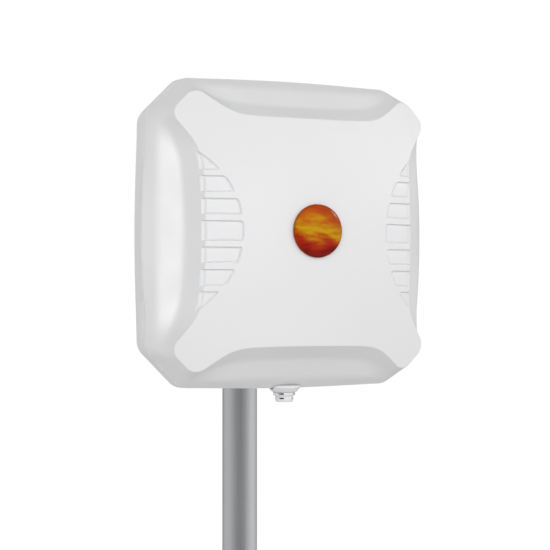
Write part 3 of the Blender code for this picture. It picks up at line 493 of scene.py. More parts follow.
class Finish:
    """A Principled material and short ways to add nodes to it."""

    def __init__(self, name, colour, roughness, metallic=0.0):
        self.material = bpy.data.materials.new(name)
        self.material.use_nodes = True
        self.tree = self.material.node_tree
        self.shader = self.tree.nodes["Principled BSDF"]
        self.set(**{"Base Color": (*colour, 1), "Roughness": roughness, "Metallic": metallic})
        self.colour = colour

    def set(self, **values):
        for key, value in values.items():
            self.shader.inputs[key].default_value = value

    def add(self, kind, links=(), **values):
        made = self.tree.nodes.new(kind)
        for key, value in values.items():
            if key in made.inputs:
                made.inputs[key].default_value = value
            else:
                setattr(made, key, value)
        for socket, source in dict(links).items():
            self.tree.links.new(source, made.inputs[socket])
        return made

    def coordinates(self, stretch=(1, 1, 1)):
        place = self.add("ShaderNodeTexCoord").outputs["Object"]
        return self.add("ShaderNodeMapping", {"Vector": place}, Scale=stretch).outputs["Vector"]

    def noise(self, scale, detail=3.0, stretch=(1, 1, 1), place=None):
        place = place or self.coordinates(stretch)
        made = self.add("ShaderNodeTexNoise", {"Vector": place}, Scale=scale, Detail=detail, Roughness=0.55)
        return made.outputs["Fac"]

    def ramp(self, factor, *stops):
        made = self.add("ShaderNodeValToRGB", {"Fac": factor})
        points = made.color_ramp.elements
        while len(points) < len(stops):
            points.new(0.5)
        for point, (place, colour) in zip(points, stops):
            point.position = place
            point.color = (*colour, 1) if isinstance(colour, tuple) else (colour, colour, colour, 1)
        return made.outputs["Color"]

    def mix(self, factor, first, second, blend="MIX"):
        made = self.add("ShaderNodeMix", data_type="RGBA", blend_type=blend)
        for index, value in ((0, factor), (6, first), (7, second)):
            feed(self.tree, made.inputs[index], (*value, 1) if isinstance(value, tuple) else value)
        return made.outputs[2]

    def colour_from(self, source):
        self.tree.links.new(source, self.shader.inputs["Base Color"])

    def shades(self, factor, amount):
        """Colour that wanders a little round the base colour with a noise."""
        low = tuple(max(c * (1 - amount), 0) for c in self.colour)
        high = tuple(min(c * (1 + amount), 1) for c in self.colour)
        self.colour_from(self.ramp(factor, (0.3, low), (0.7, high)))

    def roughness_from(self, factor, low, high):
        spread = self.ramp(factor, (0.3, low), (0.7, high))
        self.tree.links.new(spread, self.shader.inputs["Roughness"])

    def bump(self, factor, depth):
        """Relief of that depth in millimetres."""
        lift = self.add("ShaderNodeBump", {"Height": factor}, Strength=1.0, Distance=depth * MM)
        self.tree.links.new(lift.outputs["Normal"], self.shader.inputs["Normal"])

    def plus(self, first, second):
        return maths(self.tree, "ADD", first, second)

    def product(self, first, second):
        return maths(self.tree, "MULTIPLY", first, second)

    def scaled(self, source, offset, factor):
        """The source less an offset, times a factor."""
        return self.product(self.plus(source, -offset), factor)


def moulded(name, colour, roughness, grain, depth, mottle=0.012):
    """Moulded plastic: a fine grain, a slow drift in shade and a slightly uneven gloss."""
    finish = Finish(name, colour, roughness)
    finish.shades(finish.noise(9.0, 2.0), mottle)
    finish.roughness_from(finish.noise(60.0, 4.0), roughness - 0.05, roughness + 0.05)
    finish.bump(finish.noise(grain, 4.0), depth)
    return finish.material


def rolled_metal(name, colour, roughness, stretch, streak, grain=700.0, depth=0.01):
    """Metal with fine streaks along one direction and a faint mottle."""
    finish = Finish(name, colour, roughness, 1.0)
    streaks = finish.noise(grain, 4.0, stretch)
    mottle = finish.noise(38.0, 5.0)
    together = finish.mix(0.4, streaks, mottle)
    finish.shades(together, streak)
    finish.roughness_from(streaks, roughness - 0.05, roughness + 0.07)
    finish.bump(streaks, depth)
    return finish.material


def zinc_plate(name, colour, roughness):
    """Dull zinc: crystals of slightly different grey, with small pits."""
    finish = Finish(name, colour, roughness, 1.0)
    cells = finish.add("ShaderNodeTexVoronoi", {"Vector": finish.coordinates()}, Scale=420.0, Randomness=1.0)
    tone = finish.ramp(cells.outputs["Color"], (0.0, 0.86), (1.0, 1.0))
    finish.colour_from(finish.mix(1.0, finish.colour, tone, "MULTIPLY"))
    finish.roughness_from(finish.noise(160.0, 5.0), roughness - 0.08, roughness + 0.10)
    finish.bump(finish.noise(900.0, 3.0), 0.01)
    return finish.material


def rubber(name, colour):
    """Matt black with a fine, even grain."""
    finish = Finish(name, colour, 0.8)
    finish.shades(finish.noise(300.0), 0.25)
    finish.roughness_from(finish.noise(500.0), 0.72, 0.9)
    finish.bump(finish.noise(1500.0), 0.03)
    return finish.material


def circuit_board(name, colour):
    """Green solder mask with the glass weave showing faintly through."""
    finish = Finish(name, colour, 0.3)
    finish.set(**{"Coat Weight": 0.4, "Coat Roughness": 0.15})
    weave = finish.add("ShaderNodeTexChecker", {"Vector": finish.coordinates()}, Scale=1400.0)
    lighter = tuple(c * 1.25 for c in colour)
    finish.colour_from(finish.ramp(weave.outputs["Fac"], (0.0, colour), (1.0, lighter)))
    finish.bump(weave.outputs["Fac"], 0.004)
    return finish.material


def badge_print(name):
    """The printed disc's edge, a red-brown ink."""
    finish = Finish(name, (0.40, 0.07, 0.008), 0.4)
    finish.shades(finish.noise(80.0, 4.0), 0.2)
    finish.bump(finish.noise(900.0), 0.005)
    return finish.material


def badge_resin(name):
    """A glossy domed resin over a print with slanting streaks from amber to red, darker round its rim."""
    finish = Finish(name, (0.55, 0.22, 0.01), 0.12)
    finish.set(**{"Coat Weight": 0.3, "Coat Roughness": 0.05, "Specular IOR Level": 0.0})
    place = finish.add("ShaderNodeTexCoord").outputs["Object"]
    parts = finish.add("ShaderNodeSeparateXYZ", {"Vector": place})
    across = finish.scaled(parts.outputs["X"], 0.0, 1 / (BADGE_RADIUS * MM))
    up = finish.scaled(parts.outputs["Z"], PANEL_Z + BADGE_LIFT * MM, 1 / (BADGE_RADIUS * MM))
    slanted = {"Rotation": (0.0, -0.45, 0.0), "Scale": (0.5, 1.0, 1.5)}
    streaks = finish.add("ShaderNodeMapping", {"Vector": place}, **slanted).outputs["Vector"]
    drift = finish.scaled(finish.noise(75.0, 5.0, place=streaks), 0.5, 2.3)
    slope = finish.scaled(across, 0.0, 0.22)
    level = finish.plus(finish.plus(up, slope), drift)
    bands = finish.ramp(
        finish.scaled(level, -1.3, 0.4),
        (0.10, (0.10, 0.001, 0.001)),
        (0.22, (0.33, 0.008, 0.002)),
        (0.33, (0.42, 0.035, 0.002)),
        (0.42, (0.50, 0.13, 0.001)),
        (0.50, (0.57, 0.30, 0.001)),
        (0.58, (0.60, 0.34, 0.002)),
        (0.68, (0.55, 0.20, 0.003)),
        (0.80, (0.52, 0.09, 0.002)),
        (0.95, (0.42, 0.035, 0.002)),
    )
    right = finish.plus(across, finish.scaled(up, 0.0, 0.9))
    warm = finish.ramp(finish.scaled(right, -1.4, 0.36), (0.72, 0.0), (0.95, 1.0))
    hot = finish.mix(finish.product(warm, 0.8), bands, (0.40, 0.040, 0.003))
    radius = finish.plus(finish.product(across, across), finish.product(up, up))
    edge = finish.ramp(radius, (0.84, 0.0), (0.985, 1.0))
    finish.colour_from(finish.mix(finish.product(edge, 0.55), hot, (0.26, 0.02, 0.002)))
    finish.bump(finish.noise(140.0, 2.0), 0.01)
    return finish.material


def build_materials():
    """One material for each of the record's slots."""
    upright = (1, 1, 0.02)
    return {
        "radome": moulded("radome_white", (0.86, 0.86, 0.87), 0.45, 1500.0, 0.006),
        "gland_plastic": moulded("gland_white", (0.84, 0.84, 0.85), 0.4, 1800.0, 0.008),
        "dark_plastic": moulded("dark_plastic", (0.035, 0.036, 0.04), 0.5, 1600.0, 0.02, 0.15),
        "nylon": moulded("natural_nylon", (0.84, 0.82, 0.76), 0.5, 1400.0, 0.01, 0.02),
        "lead_jacket": moulded("brown_jacket", (0.16, 0.06, 0.03), 0.4, 2200.0, 0.01, 0.1),
        "mast_metal": rolled_metal("mast_satin_grey", (0.50, 0.505, 0.515), 0.2, upright, 0.04),
        "bracket_metal": zinc_plate("dull_zinc", (0.56, 0.57, 0.59), 0.42),
        "stainless": rolled_metal("stainless", (0.63, 0.62, 0.61), 0.25, (1, 1, 1), 0.06, 300.0, 0.003),
        "aluminium": rolled_metal("mill_aluminium", (0.80, 0.81, 0.82), 0.33, (0.03, 1, 1), 0.06),
        "rubber": rubber("black_rubber", (0.025, 0.025, 0.026)),
        "circuit_board": circuit_board("solder_mask_green", (0.03, 0.16, 0.07)),
        "badge_print": badge_print("badge_ink"),
        "badge_resin": badge_resin("badge_amber_resin"),
    }


MATERIALS = build_materials()


def stand_for(piece, node, angle=None):
    """The piece takes the place of a CAD node: its body, its slot and its finish."""
    if angle:
        smooth(piece, angle)
    piece.data.materials.clear()
    piece.data.materials.append(MATERIALS[SLOT_OF[node]])
    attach(piece, BODY_OF[node])
    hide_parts(node)


# ---------------------------------------------------------------- simple solids


def loft(rings, closed=False):
    """Vertices and faces through rings of matching points, capped at both ends or joined into a loop."""
    count = len(rings[0])
    vertices = [tuple(point) for ring_points in rings for point in ring_points]
    faces = ring_faces(len(rings), count)
    last = (len(rings) - 1) * count
    if closed:
        faces += [(last + i, last + (i + 1) % count, (i + 1) % count, i) for i in range(count)]
    else:
        faces += [tuple(range(count)), tuple(range(last + count - 1, last - 1, -1))]
    return vertices, faces


def solid(name, shape, placing=None):
    """An object from a shape in millimetres, moved to its place in the world."""
    vertices, faces = shape
    placing = placing or Matrix.Identity(4)
    return mesh_object(name, [placing @ (Vector(v) * MM) for v in vertices], faces)


def softened(profile, radius, steps=4, closed=False):
    """The profile with each of its corners rounded; every turn keeps within half of its sides."""
    points = [np.array(point, float) for point in profile]
    count = len(points)
    result = []
    for i, point in enumerate(points):
        if not closed and i in (0, count - 1):
            result.append(tuple(point))
            continue
        before, after = points[i - 1] - point, points[(i + 1) % count] - point
        reach = min(radius, 0.45 * np.linalg.norm(before), 0.45 * np.linalg.norm(after))
        start = point + before / np.linalg.norm(before) * reach
        end = point + after / np.linalg.norm(after) * reach
        for k in range(steps + 1):
            t = k / steps
            result.append(tuple((1 - t) ** 2 * start + 2 * t * (1 - t) * point + t * t * end))
    return result


def circle(radius, height, count):
    angles = [2 * math.pi * i / count for i in range(count)]
    return [(radius * math.cos(a), radius * math.sin(a), height) for a in angles]


def hexagon(across_flats, height, rounding=0.0):
    """A hexagon whose corners are cut back to a circle by the rounding, as on a chamfered nut."""
    points = []
    for a in np.arange(48) * (2 * math.pi / 48):
        off_flat = (a + math.pi / 6) % (math.pi / 3) - math.pi / 6
        reach = min(across_flats / 2 / math.cos(off_flat), across_flats / math.sqrt(3) - rounding)
        points.append((reach * math.cos(a), reach * math.sin(a), height))
    return points


def rounds(*profile, count=48):
    """A level circle for each (radius, height)."""
    return [circle(radius, height, count) for radius, height in profile]


def turned(profile, count, closed=False):
    """A profile of (radius, height) turned about the local Z axis."""
    return loft(rounds(*profile, count=count), closed)


def prism(outline_points, sweep):
    return loft([outline_points, [tuple(np.add(point, sweep)) for point in outline_points]])


def upright(plan, half):
    """A plan (x, y) swept from -half to half in height."""
    return prism([(x, y, -half) for x, y in plan], (0, 0, 2 * half))


def crosswise(side, half):
    """A side view (y, z) swept from -half to half across."""
    return prism([(-half, y, z) for y, z in side], (2 * half, 0, 0))


def joined(*shapes):
    vertices, faces = [], []
    for more_vertices, more_faces in shapes:
        start = len(vertices)
        vertices += more_vertices
        faces += [tuple(start + i for i in face) for face in more_faces]
    return vertices, faces


def combine(target, operation, tool):
    """Applies a Boolean to the target's mesh and throws the tool away."""
    step = target.modifiers.new(operation, "BOOLEAN")
    step.operation = operation
    step.solver = "EXACT"
    step.object = tool
    bpy.context.view_layer.update()
    seen = target.evaluated_get(bpy.context.evaluated_depsgraph_get())
    result = bpy.data.meshes.new_from_object(seen)
    target.modifiers.clear()
    target.data = result
    bpy.data.objects.remove(tool)


def cut(target, shape, placing=None):
    combine(target, "DIFFERENCE", solid("cut", shape, placing))


def trim(target, shape):
    combine(target, "INTERSECT", solid("trim", shape))


def bevelled(piece, width, segments, angle):
    """Rounds the piece's sharp edges and shades it."""
    step = piece.modifiers.new("edges", "BEVEL")
    step.width = width * MM
    step.segments = segments
    step.limit_method = "ANGLE"
    step.angle_limit = math.radians(angle)
    step.harden_normals = True
    smooth(piece, angle)


def placed(x, y, z, turn=(0, 0, 0)):
    """A place in metres and a turn about the axes in radians."""
    return Matrix.Translation((x, y, z)) @ Euler(turn).to_matrix().to_4x4()


ALONG_X = (0, math.pi / 2, 0)
FORWARD = (math.pi / 2, 0, 0)


def on_panel(x, z, depth):
    """A place on the housing, whose local Z points forward."""
    return placed(x * MM, RIM_Y - depth * MM, PANEL_Z + z * MM, FORWARD)


def by_mast(x, y, z, turn=(0, 0, 0)):
    """A place in millimetres from the mast's axis, at a height about the panel's centre."""
    return placed(x * MM, y * MM, PANEL_Z + z * MM, turn)


def four_ways(x, z):
    return [(x, z), (-x, z), (-x, -z), (x, -z)]


def arc(radius, start, end, steps, centre=(0.0, 0.0)):
    """Points on an arc, with angles in degrees from the first axis towards the second."""
    angles = [math.radians(start + (end - start) * i / steps) for i in range(steps + 1)]
    return [(centre[0] + radius * math.cos(a), centre[1] + radius * math.sin(a)) for a in angles]


def drill_y(spots, radius, start, end):
    """Round holes along Y at each (x, z), from start to end."""
    hole = circle(radius, 0, 40)
    cuts = [prism([(x + a, start, z + b) for a, b, _ in hole], (0, end - start, 0)) for x, z in spots]
    return joined(*cuts)


def drill_x(y, z, radius):
    """A round hole right across at (y, z)."""
    return crosswise([(y + a, z + b) for a, b, _ in circle(radius, 0, 40)], 50)


# ---------------------------------------------------------------- rear cover

SHOULDER_SEAT = 13.5
FLOOR = 3.0
BACK_ROUND = 2.6
PAD_DEPTH = -4.0
RIB_DEPTH = -2.5
PAD = (60.0, 40.0)
RIB_HALF = 3.0
RIB_END = 112.0
COVER_SCREWS = [(110.0, 48.0), (48.0, 110.0)]
BRACKET_SCREW = (46.0, 26.0)
SCREW_SINK = [(4.6, -1.0), (4.6, 0.0), (4.0, 0.6), (4.0, 4.0)]


def cover_screw_places():
    return [spot for x, z in COVER_SCREWS for spot in four_ways(x, z)]


def build_rear_cover():
    """The rear cover: a tray with a rounded back edge, a raised pad, four ribs and eight screw sinks."""
    lip, lip_above = inset(FRONT_RIM, 0.25), inset(FRONT_RIM_ABOVE, 0.25)
    rings = [
        ring_at(inset(RIM, 7.0), FLOOR),
        ring_at(inset(RIM, 7.0), SHOULDER_SEAT),
        ring_at(inset(RIM, 3.0), SHOULDER_SEAT),
        ring_at(inset(RIM, 3.0), REAR_TOP - 0.2),
        ring_at(inset(RIM, 2.8), REAR_TOP),
        ring_at(lip, REAR_TOP, above=lip_above),
        ring_at(FRONT_RIM, REAR_TOP - 0.3, above=FRONT_RIM_ABOVE),
        ring_at(RIM, 6.0),
    ]
    for turn in np.linspace(0, math.pi / 2, 9):
        sink = BACK_ROUND * (1 - math.cos(turn))
        rings.append(ring_at(inset(RIM, sink), BACK_ROUND * (1 - math.sin(turn))))
    cover = mesh_object("rear_shell", *loft([to_world(row) for row in rings]))
    pad = softened(four_ways(*PAD), 7.0, 6, closed=True)
    combine(cover, "UNION", panel_block("pad", pad, PAD_DEPTH, 1.5, 1.0))
    for k in range(4):
        reach = PAD[k % 2] - 3.0
        bar = [(reach, -RIB_HALF), (RIB_END, -RIB_HALF), (RIB_END, RIB_HALF), (reach, RIB_HALF)]
        turn = math.pi / 2 * k
        cos, sin = round(math.cos(turn)), round(math.sin(turn))
        bar = [(x * cos - z * sin, x * sin + z * cos) for x, z in softened(bar, 1.5, 4, closed=True)]
        combine(cover, "UNION", panel_block("rib", bar, RIB_DEPTH, 1.5, 0.8))
    for x, z in cover_screw_places():
        cut(cover, turned(SCREW_SINK, 40), on_panel(x, z, 0))
    smooth(cover, 32)
    return cover


def panel_block(name, outline_points, low, high, lip):
    """A block on the housing's back from one depth to another, with a sloping lip round its outer edge."""
    points = np.array(outline_points)
    middle = points.mean(axis=0)
    away = points - middle
    top = middle + away * (1 - lip / np.maximum(np.abs(away).max(axis=0), 1))
    rings = [
        np.column_stack([top, np.full(len(points), low)]),
        np.column_stack([points, np.full(len(points), low + lip)]),
        np.column_stack([points, np.full(len(points), high)]),
    ]
    return mesh_object(name, *loft([to_world(row) for row in rings]))


# ---------------------------------------------------------------- mast, clamp and tilt bracket

MAST_WALL = 2.0
PLATE = 3.0
INNER_CHEEK = 32.0
OUTER_CHEEK = 36.0
WEB_FRONT = -25.0
WEB_BACK = -22.0
WEB_HALF = 34.0
U_BOLT_SPREAD = 18.5
U_BOLT_HEIGHT = 22.0
U_BOLT_RADIUS = 3.0
U_BOLT_TIP = -37.0
PIVOT = -48.0
LOCK_HEIGHT = 24.0
PIVOT_RADIUS = 4.0
LOCK_RADIUS = 3.0
HOLE_PLAY = 0.4
WASHER = 1.4
TILT_LIMIT = 20.0
SWING_ROOM = 2.0
BEND_RADIUS = 4.5
TIGHT_BEND = 1.5
THREAD_PITCH = 1.0
THREAD_STEPS = 6
THREAD_DEPTH = 0.16
CORNER_CUT = 1 / math.sqrt(3) - 0.5


def build_mast():
    """The tube with eased ends, the plug that it stands on and the cap over its top."""
    top = TUBE_HIGH.z / MM
    outer, bore = MAST_RADIUS, MAST_RADIUS - MAST_WALL
    foot = TUBE_LOW.z / MM
    tube = [(bore, foot), (outer - 0.4, foot), (outer, foot + 0.4)]
    tube += [(outer, foot + (top - foot) * i / 40) for i in range(1, 40)]
    tube += [(outer, top - 0.4), (outer - 0.4, top), (bore, top)]
    stand_for(solid("mast_pole", turned(tube, 96, closed=True)), "mast_tube", 40)
    rim = [(outer - 1.6, 0), (outer, 1.2), (outer, 3.7), (bore - GAP, 3.7), (bore - GAP, 24)]
    plug = [(4.0, 0), (4.0, 0.8), (outer - 3, 0.8), (outer - 2.4, 0)] + softened(rim, 0.5)
    stand_for(solid("mast_plug", turned(plug, 96)), "mast_foot_plug", 40)
    cap = [(0.5, top + 3.0), (outer - 3, top + 2.9), (outer + 0.6, top + 2.6), (outer + 2, top + 1.0)]
    cap += [(outer + 2, top - 12.4), (outer + 1.6, top - 14), (outer + GAP, top - 14)]
    cap += [(outer + GAP, top + GAP), (0.5, top + GAP)]
    stand_for(solid("mast_crown", turned(softened(cap, 1.2, 5), 96)), "mast_top_cap", 40)


def channel(outer_half, inner_half, back, web, front):
    """A plan (x, y) of a folded bracket: a web with a cheek at each side, its bends rounded."""
    outside, inside = [(outer_half, back)], [(inner_half, back)]
    outside += rounded_corner(outside[0], (outer_half, web), (0, web), BEND_RADIUS)
    inside += rounded_corner(inside[0], (inner_half, front), (0, front), BEND_RADIUS - PLATE)
    return outside + [(-x, y) for x, y in outside[::-1]] + [(-x, y) for x, y in inside] + inside[::-1]


def rounded_corner(before, corner, after, radius):
    """Points round a square corner, from the side that comes before it to the side after it."""
    before, corner, after = (np.array(p, float) for p in (before, corner, after))
    into = (before - corner) / np.linalg.norm(before - corner)
    out = (after - corner) / np.linalg.norm(after - corner)
    centre = corner + (into + out) * radius
    turns = np.linspace(0, math.pi / 2, 7)
    return [tuple(centre - out * radius * math.cos(a) - into * radius * math.sin(a)) for a in turns]


def build_mast_bracket():
    """A folded channel whose web lies on the saddles and whose two cheeks hold the pivot and lock bolts."""
    plan = channel(INNER_CHEEK, INNER_CHEEK - PLATE, PIVOT - 20, WEB_BACK, WEB_FRONT)
    bracket = solid("mast_clamp_bracket", upright(plan, WEB_HALF))
    side = [(-10, -WEB_HALF - 1), (-10, WEB_HALF + 1), (-30, WEB_HALF + 1), (-31, WEB_HALF - 1)]
    side += arc(8.5, 70, 190, 20, (PIVOT, LOCK_HEIGHT))
    side += arc(15, 140, 300, 28, (PIVOT, 0))
    side += [(-31, -WEB_HALF + 1), (-30, -WEB_HALF - 1)]
    trim(bracket, crosswise(side, 50))
    cut(bracket, drill_x(PIVOT, 0, PIVOT_RADIUS + HOLE_PLAY))
    cut(bracket, drill_x(PIVOT, LOCK_HEIGHT, LOCK_RADIUS + HOLE_PLAY))
    cut(bracket, drill_y(four_ways(U_BOLT_SPREAD, U_BOLT_HEIGHT), U_BOLT_RADIUS + HOLE_PLAY, -30, -15))
    raise_to_panel(bracket)
    bevelled(bracket, 0.4, 2, 40)
    stand_for(bracket, "mast_bracket")


def raise_to_panel(piece, y=0.0):
    """Moves a piece modelled about the panel's centre height, or the tilt axis, to its place."""
    piece.data.transform(Matrix.Translation((0, y * MM, PANEL_Z)))


def build_antenna_bracket():
    """A plate on the housing's back with two cheeks, each with an arc slot that the lock bolt runs in."""
    plate_front = RIM_Y / MM - PIVOT - PAD_DEPTH + GAP
    plate_back = plate_front + PLATE
    half_width, half_height, cheek_end = 55.0, 36.0, 40.0
    inner = OUTER_CHEEK - PLATE
    foot = OUTER_CHEEK + PLATE
    right = [(half_width, plate_front), (half_width, plate_back), (foot, plate_back)]
    tips = [(OUTER_CHEEK, cheek_end), (inner, cheek_end)]
    right += rounded_corner((foot, plate_back), (OUTER_CHEEK, plate_back), tips[0], TIGHT_BEND)
    right += tips
    right += rounded_corner(tips[1], (inner, plate_back), (0, plate_back), TIGHT_BEND)
    plan = right + [(-x, y) for x, y in reversed(right)]
    bracket = solid("tilt_bracket", upright(plan, half_height))
    side = [(-50, -40), (plate_back + 4, -40)]
    side += arc(34, -80, 80, 40)
    side += [(plate_back + 4, 40), (-50, 40)]
    trim(bracket, crosswise(side, 60))
    wide = softened(four_ways(half_width, half_height), 5.0, 6, closed=True)
    trim(bracket, prism([(x, -60, z) for x, z in wide], (0, 120, 0)))
    cut(bracket, drill_x(0, 0, PIVOT_RADIUS + HOLE_PLAY))
    swing = TILT_LIMIT + SWING_ROOM
    front, rear = 90 + swing, 90 - swing
    half = LOCK_RADIUS + HOLE_PLAY
    front_end, rear_end = arc(LOCK_HEIGHT, front, rear, 1)
    slot_line = arc(LOCK_HEIGHT + half, rear, front, 24)
    slot_line += arc(half, front, front + 180, 12, front_end)[1:-1]
    slot_line += arc(LOCK_HEIGHT - half, front, rear, 24)
    slot_line += arc(half, rear + 180, rear + 360, 12, rear_end)[1:-1]
    cut(bracket, crosswise(slot_line, 50))
    cut(bracket, drill_y(four_ways(*BRACKET_SCREW), 2.9, plate_front - 1, plate_back + 1))
    raise_to_panel(bracket, PIVOT)
    bevelled(bracket, 0.4, 2, 40)
    stand_for(bracket, "antenna_bracket")


def build_saddle(name, height):
    """A block with a V notch against the mast and two holes for the U-bolt's legs."""
    back = WEB_BACK + GAP
    notch = math.radians(60)
    bottom = -(MAST_RADIUS + GAP) / math.sin(notch)
    horn = -6.0
    half, notch_half = 26, (horn - bottom) * math.tan(notch)
    plan = [(-half, back), (half, back), (half, horn), (notch_half, horn), (0, bottom)]
    plan += [(-notch_half, horn), (-half, horn)]
    saddle = solid(f"{name}_block", upright(plan, 8))
    cut(saddle, drill_y([(-U_BOLT_SPREAD, 0), (U_BOLT_SPREAD, 0)], U_BOLT_RADIUS + HOLE_PLAY, -30, 5))
    saddle.data.transform(by_mast(0, 0, height))
    bevelled(saddle, 0.7, 3, 35)
    stand_for(saddle, name)


def build_u_bolt(name, height):
    """A bent bar with rolled thread on the ends of its two legs."""
    leg = []
    thread_end = WEB_BACK + 4.0
    count = int((thread_end - U_BOLT_TIP) / THREAD_PITCH * THREAD_STEPS)
    for i in range(count + 1):
        y = U_BOLT_TIP + (thread_end - U_BOLT_TIP) * i / count
        crest = THREAD_DEPTH * (1 + math.cos(2 * math.pi * i / THREAD_STEPS))
        start = min(1.0, 0.72 + 0.28 * i / THREAD_STEPS)
        leg.append((U_BOLT_SPREAD, y, (U_BOLT_RADIUS - crest) * start))
    leg.append((U_BOLT_SPREAD, thread_end + 1.2, U_BOLT_RADIUS))
    bend = [(x, y, U_BOLT_RADIUS) for x, y in arc(U_BOLT_SPREAD, 0, 180, 48)]
    line = leg + bend + [(-x, y, r) for x, y, r in reversed(leg)]
    rings = []
    for i, (x, y, radius) in enumerate(line):
        ahead, behind = line[min(i + 1, len(line) - 1)], line[max(i - 1, 0)]
        along = np.subtract(ahead[:2], behind[:2])
        side = np.array([-along[1], along[0]]) / np.linalg.norm(along)
        rings.append([(x + side[0] * a, y + side[1] * a, b) for a, b, _ in circle(radius, 0, 24)])
    stand_for(solid(f"{name}_rod", loft(rings), by_mast(0, 0, height)), name, 50)


def nut(name, thread, across_flats, height, placing, flange=0.0):
    """A chamfered hexagon nut, with a washer face, or a flange where it has one."""
    hole = thread + 0.3
    face = across_flats * 0.46
    if flange:
        base = [(flange - 0.2, 0), (flange, 0.3), (flange, 1.0), (across_flats * 0.57, 1.9)]
    else:
        base = [(face, 0), (face, 0.25)]
    low = base[-1][1]
    corner = across_flats * CORNER_CUT
    rings = rounds((hole + 0.3, 0), *base)
    rings += [hexagon(across_flats, low + 0.1, corner), hexagon(across_flats, low + 0.7)]
    rings += [hexagon(across_flats, height - 0.7), hexagon(across_flats, height - 0.1, corner)]
    rings += rounds((face, height), (hole + 0.4, height), (hole, height - 0.5), (hole, 0.4))
    stand_for(solid(f"{name}_hex", loft(rings, closed=True), placing), name, 30)


def hex_bolt(name, radius, across_flats, head, length, placing):
    """A hexagon head below the local origin and a shank above it, threaded over its last stretch."""
    wide, corner = across_flats, across_flats * CORNER_CUT
    rings = rounds((wide * 0.3, 0.12 - head), (wide * 0.32, -head), (wide * 0.46, -head))
    rings += [hexagon(wide, 0.15 - head, corner), hexagon(wide, 0.8 - head), hexagon(wide, -0.05)]
    thread = max(length - 18.0, 3.0)
    rings += rounds((wide * 0.47, 0), (radius + 0.1, 0), (radius, 0.2), (radius, thread))
    turns = int((length - 0.8 - thread) / THREAD_PITCH)
    for i in range(turns * THREAD_STEPS):
        crest = THREAD_DEPTH * (1 - math.cos(2 * math.pi * i / THREAD_STEPS))
        rings += rounds((radius - crest, thread + i * THREAD_PITCH / THREAD_STEPS))
    rings += rounds((radius, length - 0.7), (radius - 0.7, length))
    stand_for(solid(f"{name}_hex", loft(rings), placing), name, 30)


def washer(name, bore, radius, placing):
    profile = softened([(bore, 0), (radius, 0), (radius, WASHER), (bore, WASHER)], 0.25, 3, closed=True)
    stand_for(solid(f"{name}_ring", turned(profile, 64, closed=True), placing), name, 30)


def build_cross_bolt(name, height, radius, across_flats, washer_radius, length):
    """A bolt right across both brackets' cheeks, with its nut and a washer at each side."""
    inside = OUTER_CHEEK + GAP
    outside = inside + WASHER + GAP
    for side, x in (("left", GAP - outside), ("right", inside)):
        washer(f"{name}_washer_{side}", radius + GAP, washer_radius, by_mast(x, PIVOT, height, ALONG_X))
    head = 0.65 * across_flats / 1.6
    hex_bolt(f"{name}_bolt", radius, across_flats, head, length, by_mast(-outside, PIVOT, height, ALONG_X))
    nut(f"{name}_nut", radius, across_flats, 1.6 * radius, by_mast(outside, PIVOT, height, ALONG_X))


def build_clamp():
    build_mast_bracket()
    for name, height in (("upper", U_BOLT_HEIGHT), ("lower", -U_BOLT_HEIGHT)):
        build_saddle(f"saddle_{name}", height)
        build_u_bolt(f"u_bolt_{name}", height)
        for side_name, x in (("left", -U_BOLT_SPREAD), ("right", U_BOLT_SPREAD)):
            place = by_mast(x, WEB_FRONT - GAP, height, FORWARD)
            nut(f"clamp_nut_{name}_{side_name}", U_BOLT_RADIUS, 10, 6, place, flange=6.5)
    build_cross_bolt("pivot", 0, PIVOT_RADIUS, 13, 8, 87)
    build_cross_bolt("lock", LOCK_HEIGHT, LOCK_RADIUS, 10, 6.5, 84)


# ---------------------------------------------------------------- screws


SCREW_SEAT = 3.7
SCREW = [(0.4, -1.0), (1.6, -2.4), (1.9, -2.4), (2.6, -2.2), (3.3, -1.5), (3.5, -0.7)]
SCREW += [(3.5, 0), (1.5, 0), (1.5, 17)]


def build_screws():
    """Eight cross-recessed screws through the rear cover, and four hexagon ones that hold the bracket."""
    for number, (x, z) in enumerate(cover_screw_places(), 1):
        place = on_panel(x, z, SCREW_SEAT)
        screw = solid(f"cover_screw_{number}_head", turned(softened(SCREW, 0.3, 3), 40), place)
        for long, wide in ((1.9, 0.35), (0.35, 1.9)):
            bar = [(a, b, -3) for a, b in ((-long, -wide), (long, -wide), (long, wide), (-long, wide))]
            cut(screw, prism(bar, (0, 0, 1.8)), place)
        stand_for(screw, f"cover_screw_{number}", 35)
    back = PAD_DEPTH - GAP - PLATE - GAP
    for number, (x, z) in enumerate(four_ways(*BRACKET_SCREW), 1):
        hex_bolt(f"bracket_screw_{number}", 2.5, 8, 3.5, 13, on_panel(x, z, back))


# ---------------------------------------------------------------- gland and badge

GLAND_DEPTH = 13.6
NECK_DEPTH = 10.0
COLLAR_RADIUS = 13.5
COLLAR_FOOT_RADIUS = 10.2
COLLAR_FOOT = -127.6
HOOD_TOP = -122.2
BOOT_FOOT = -135.8
BOOT_BORE = 5.4


def on_gland(height):
    return placed(0, RIM_Y - GLAND_DEPTH * MM, PANEL_Z + height * MM)


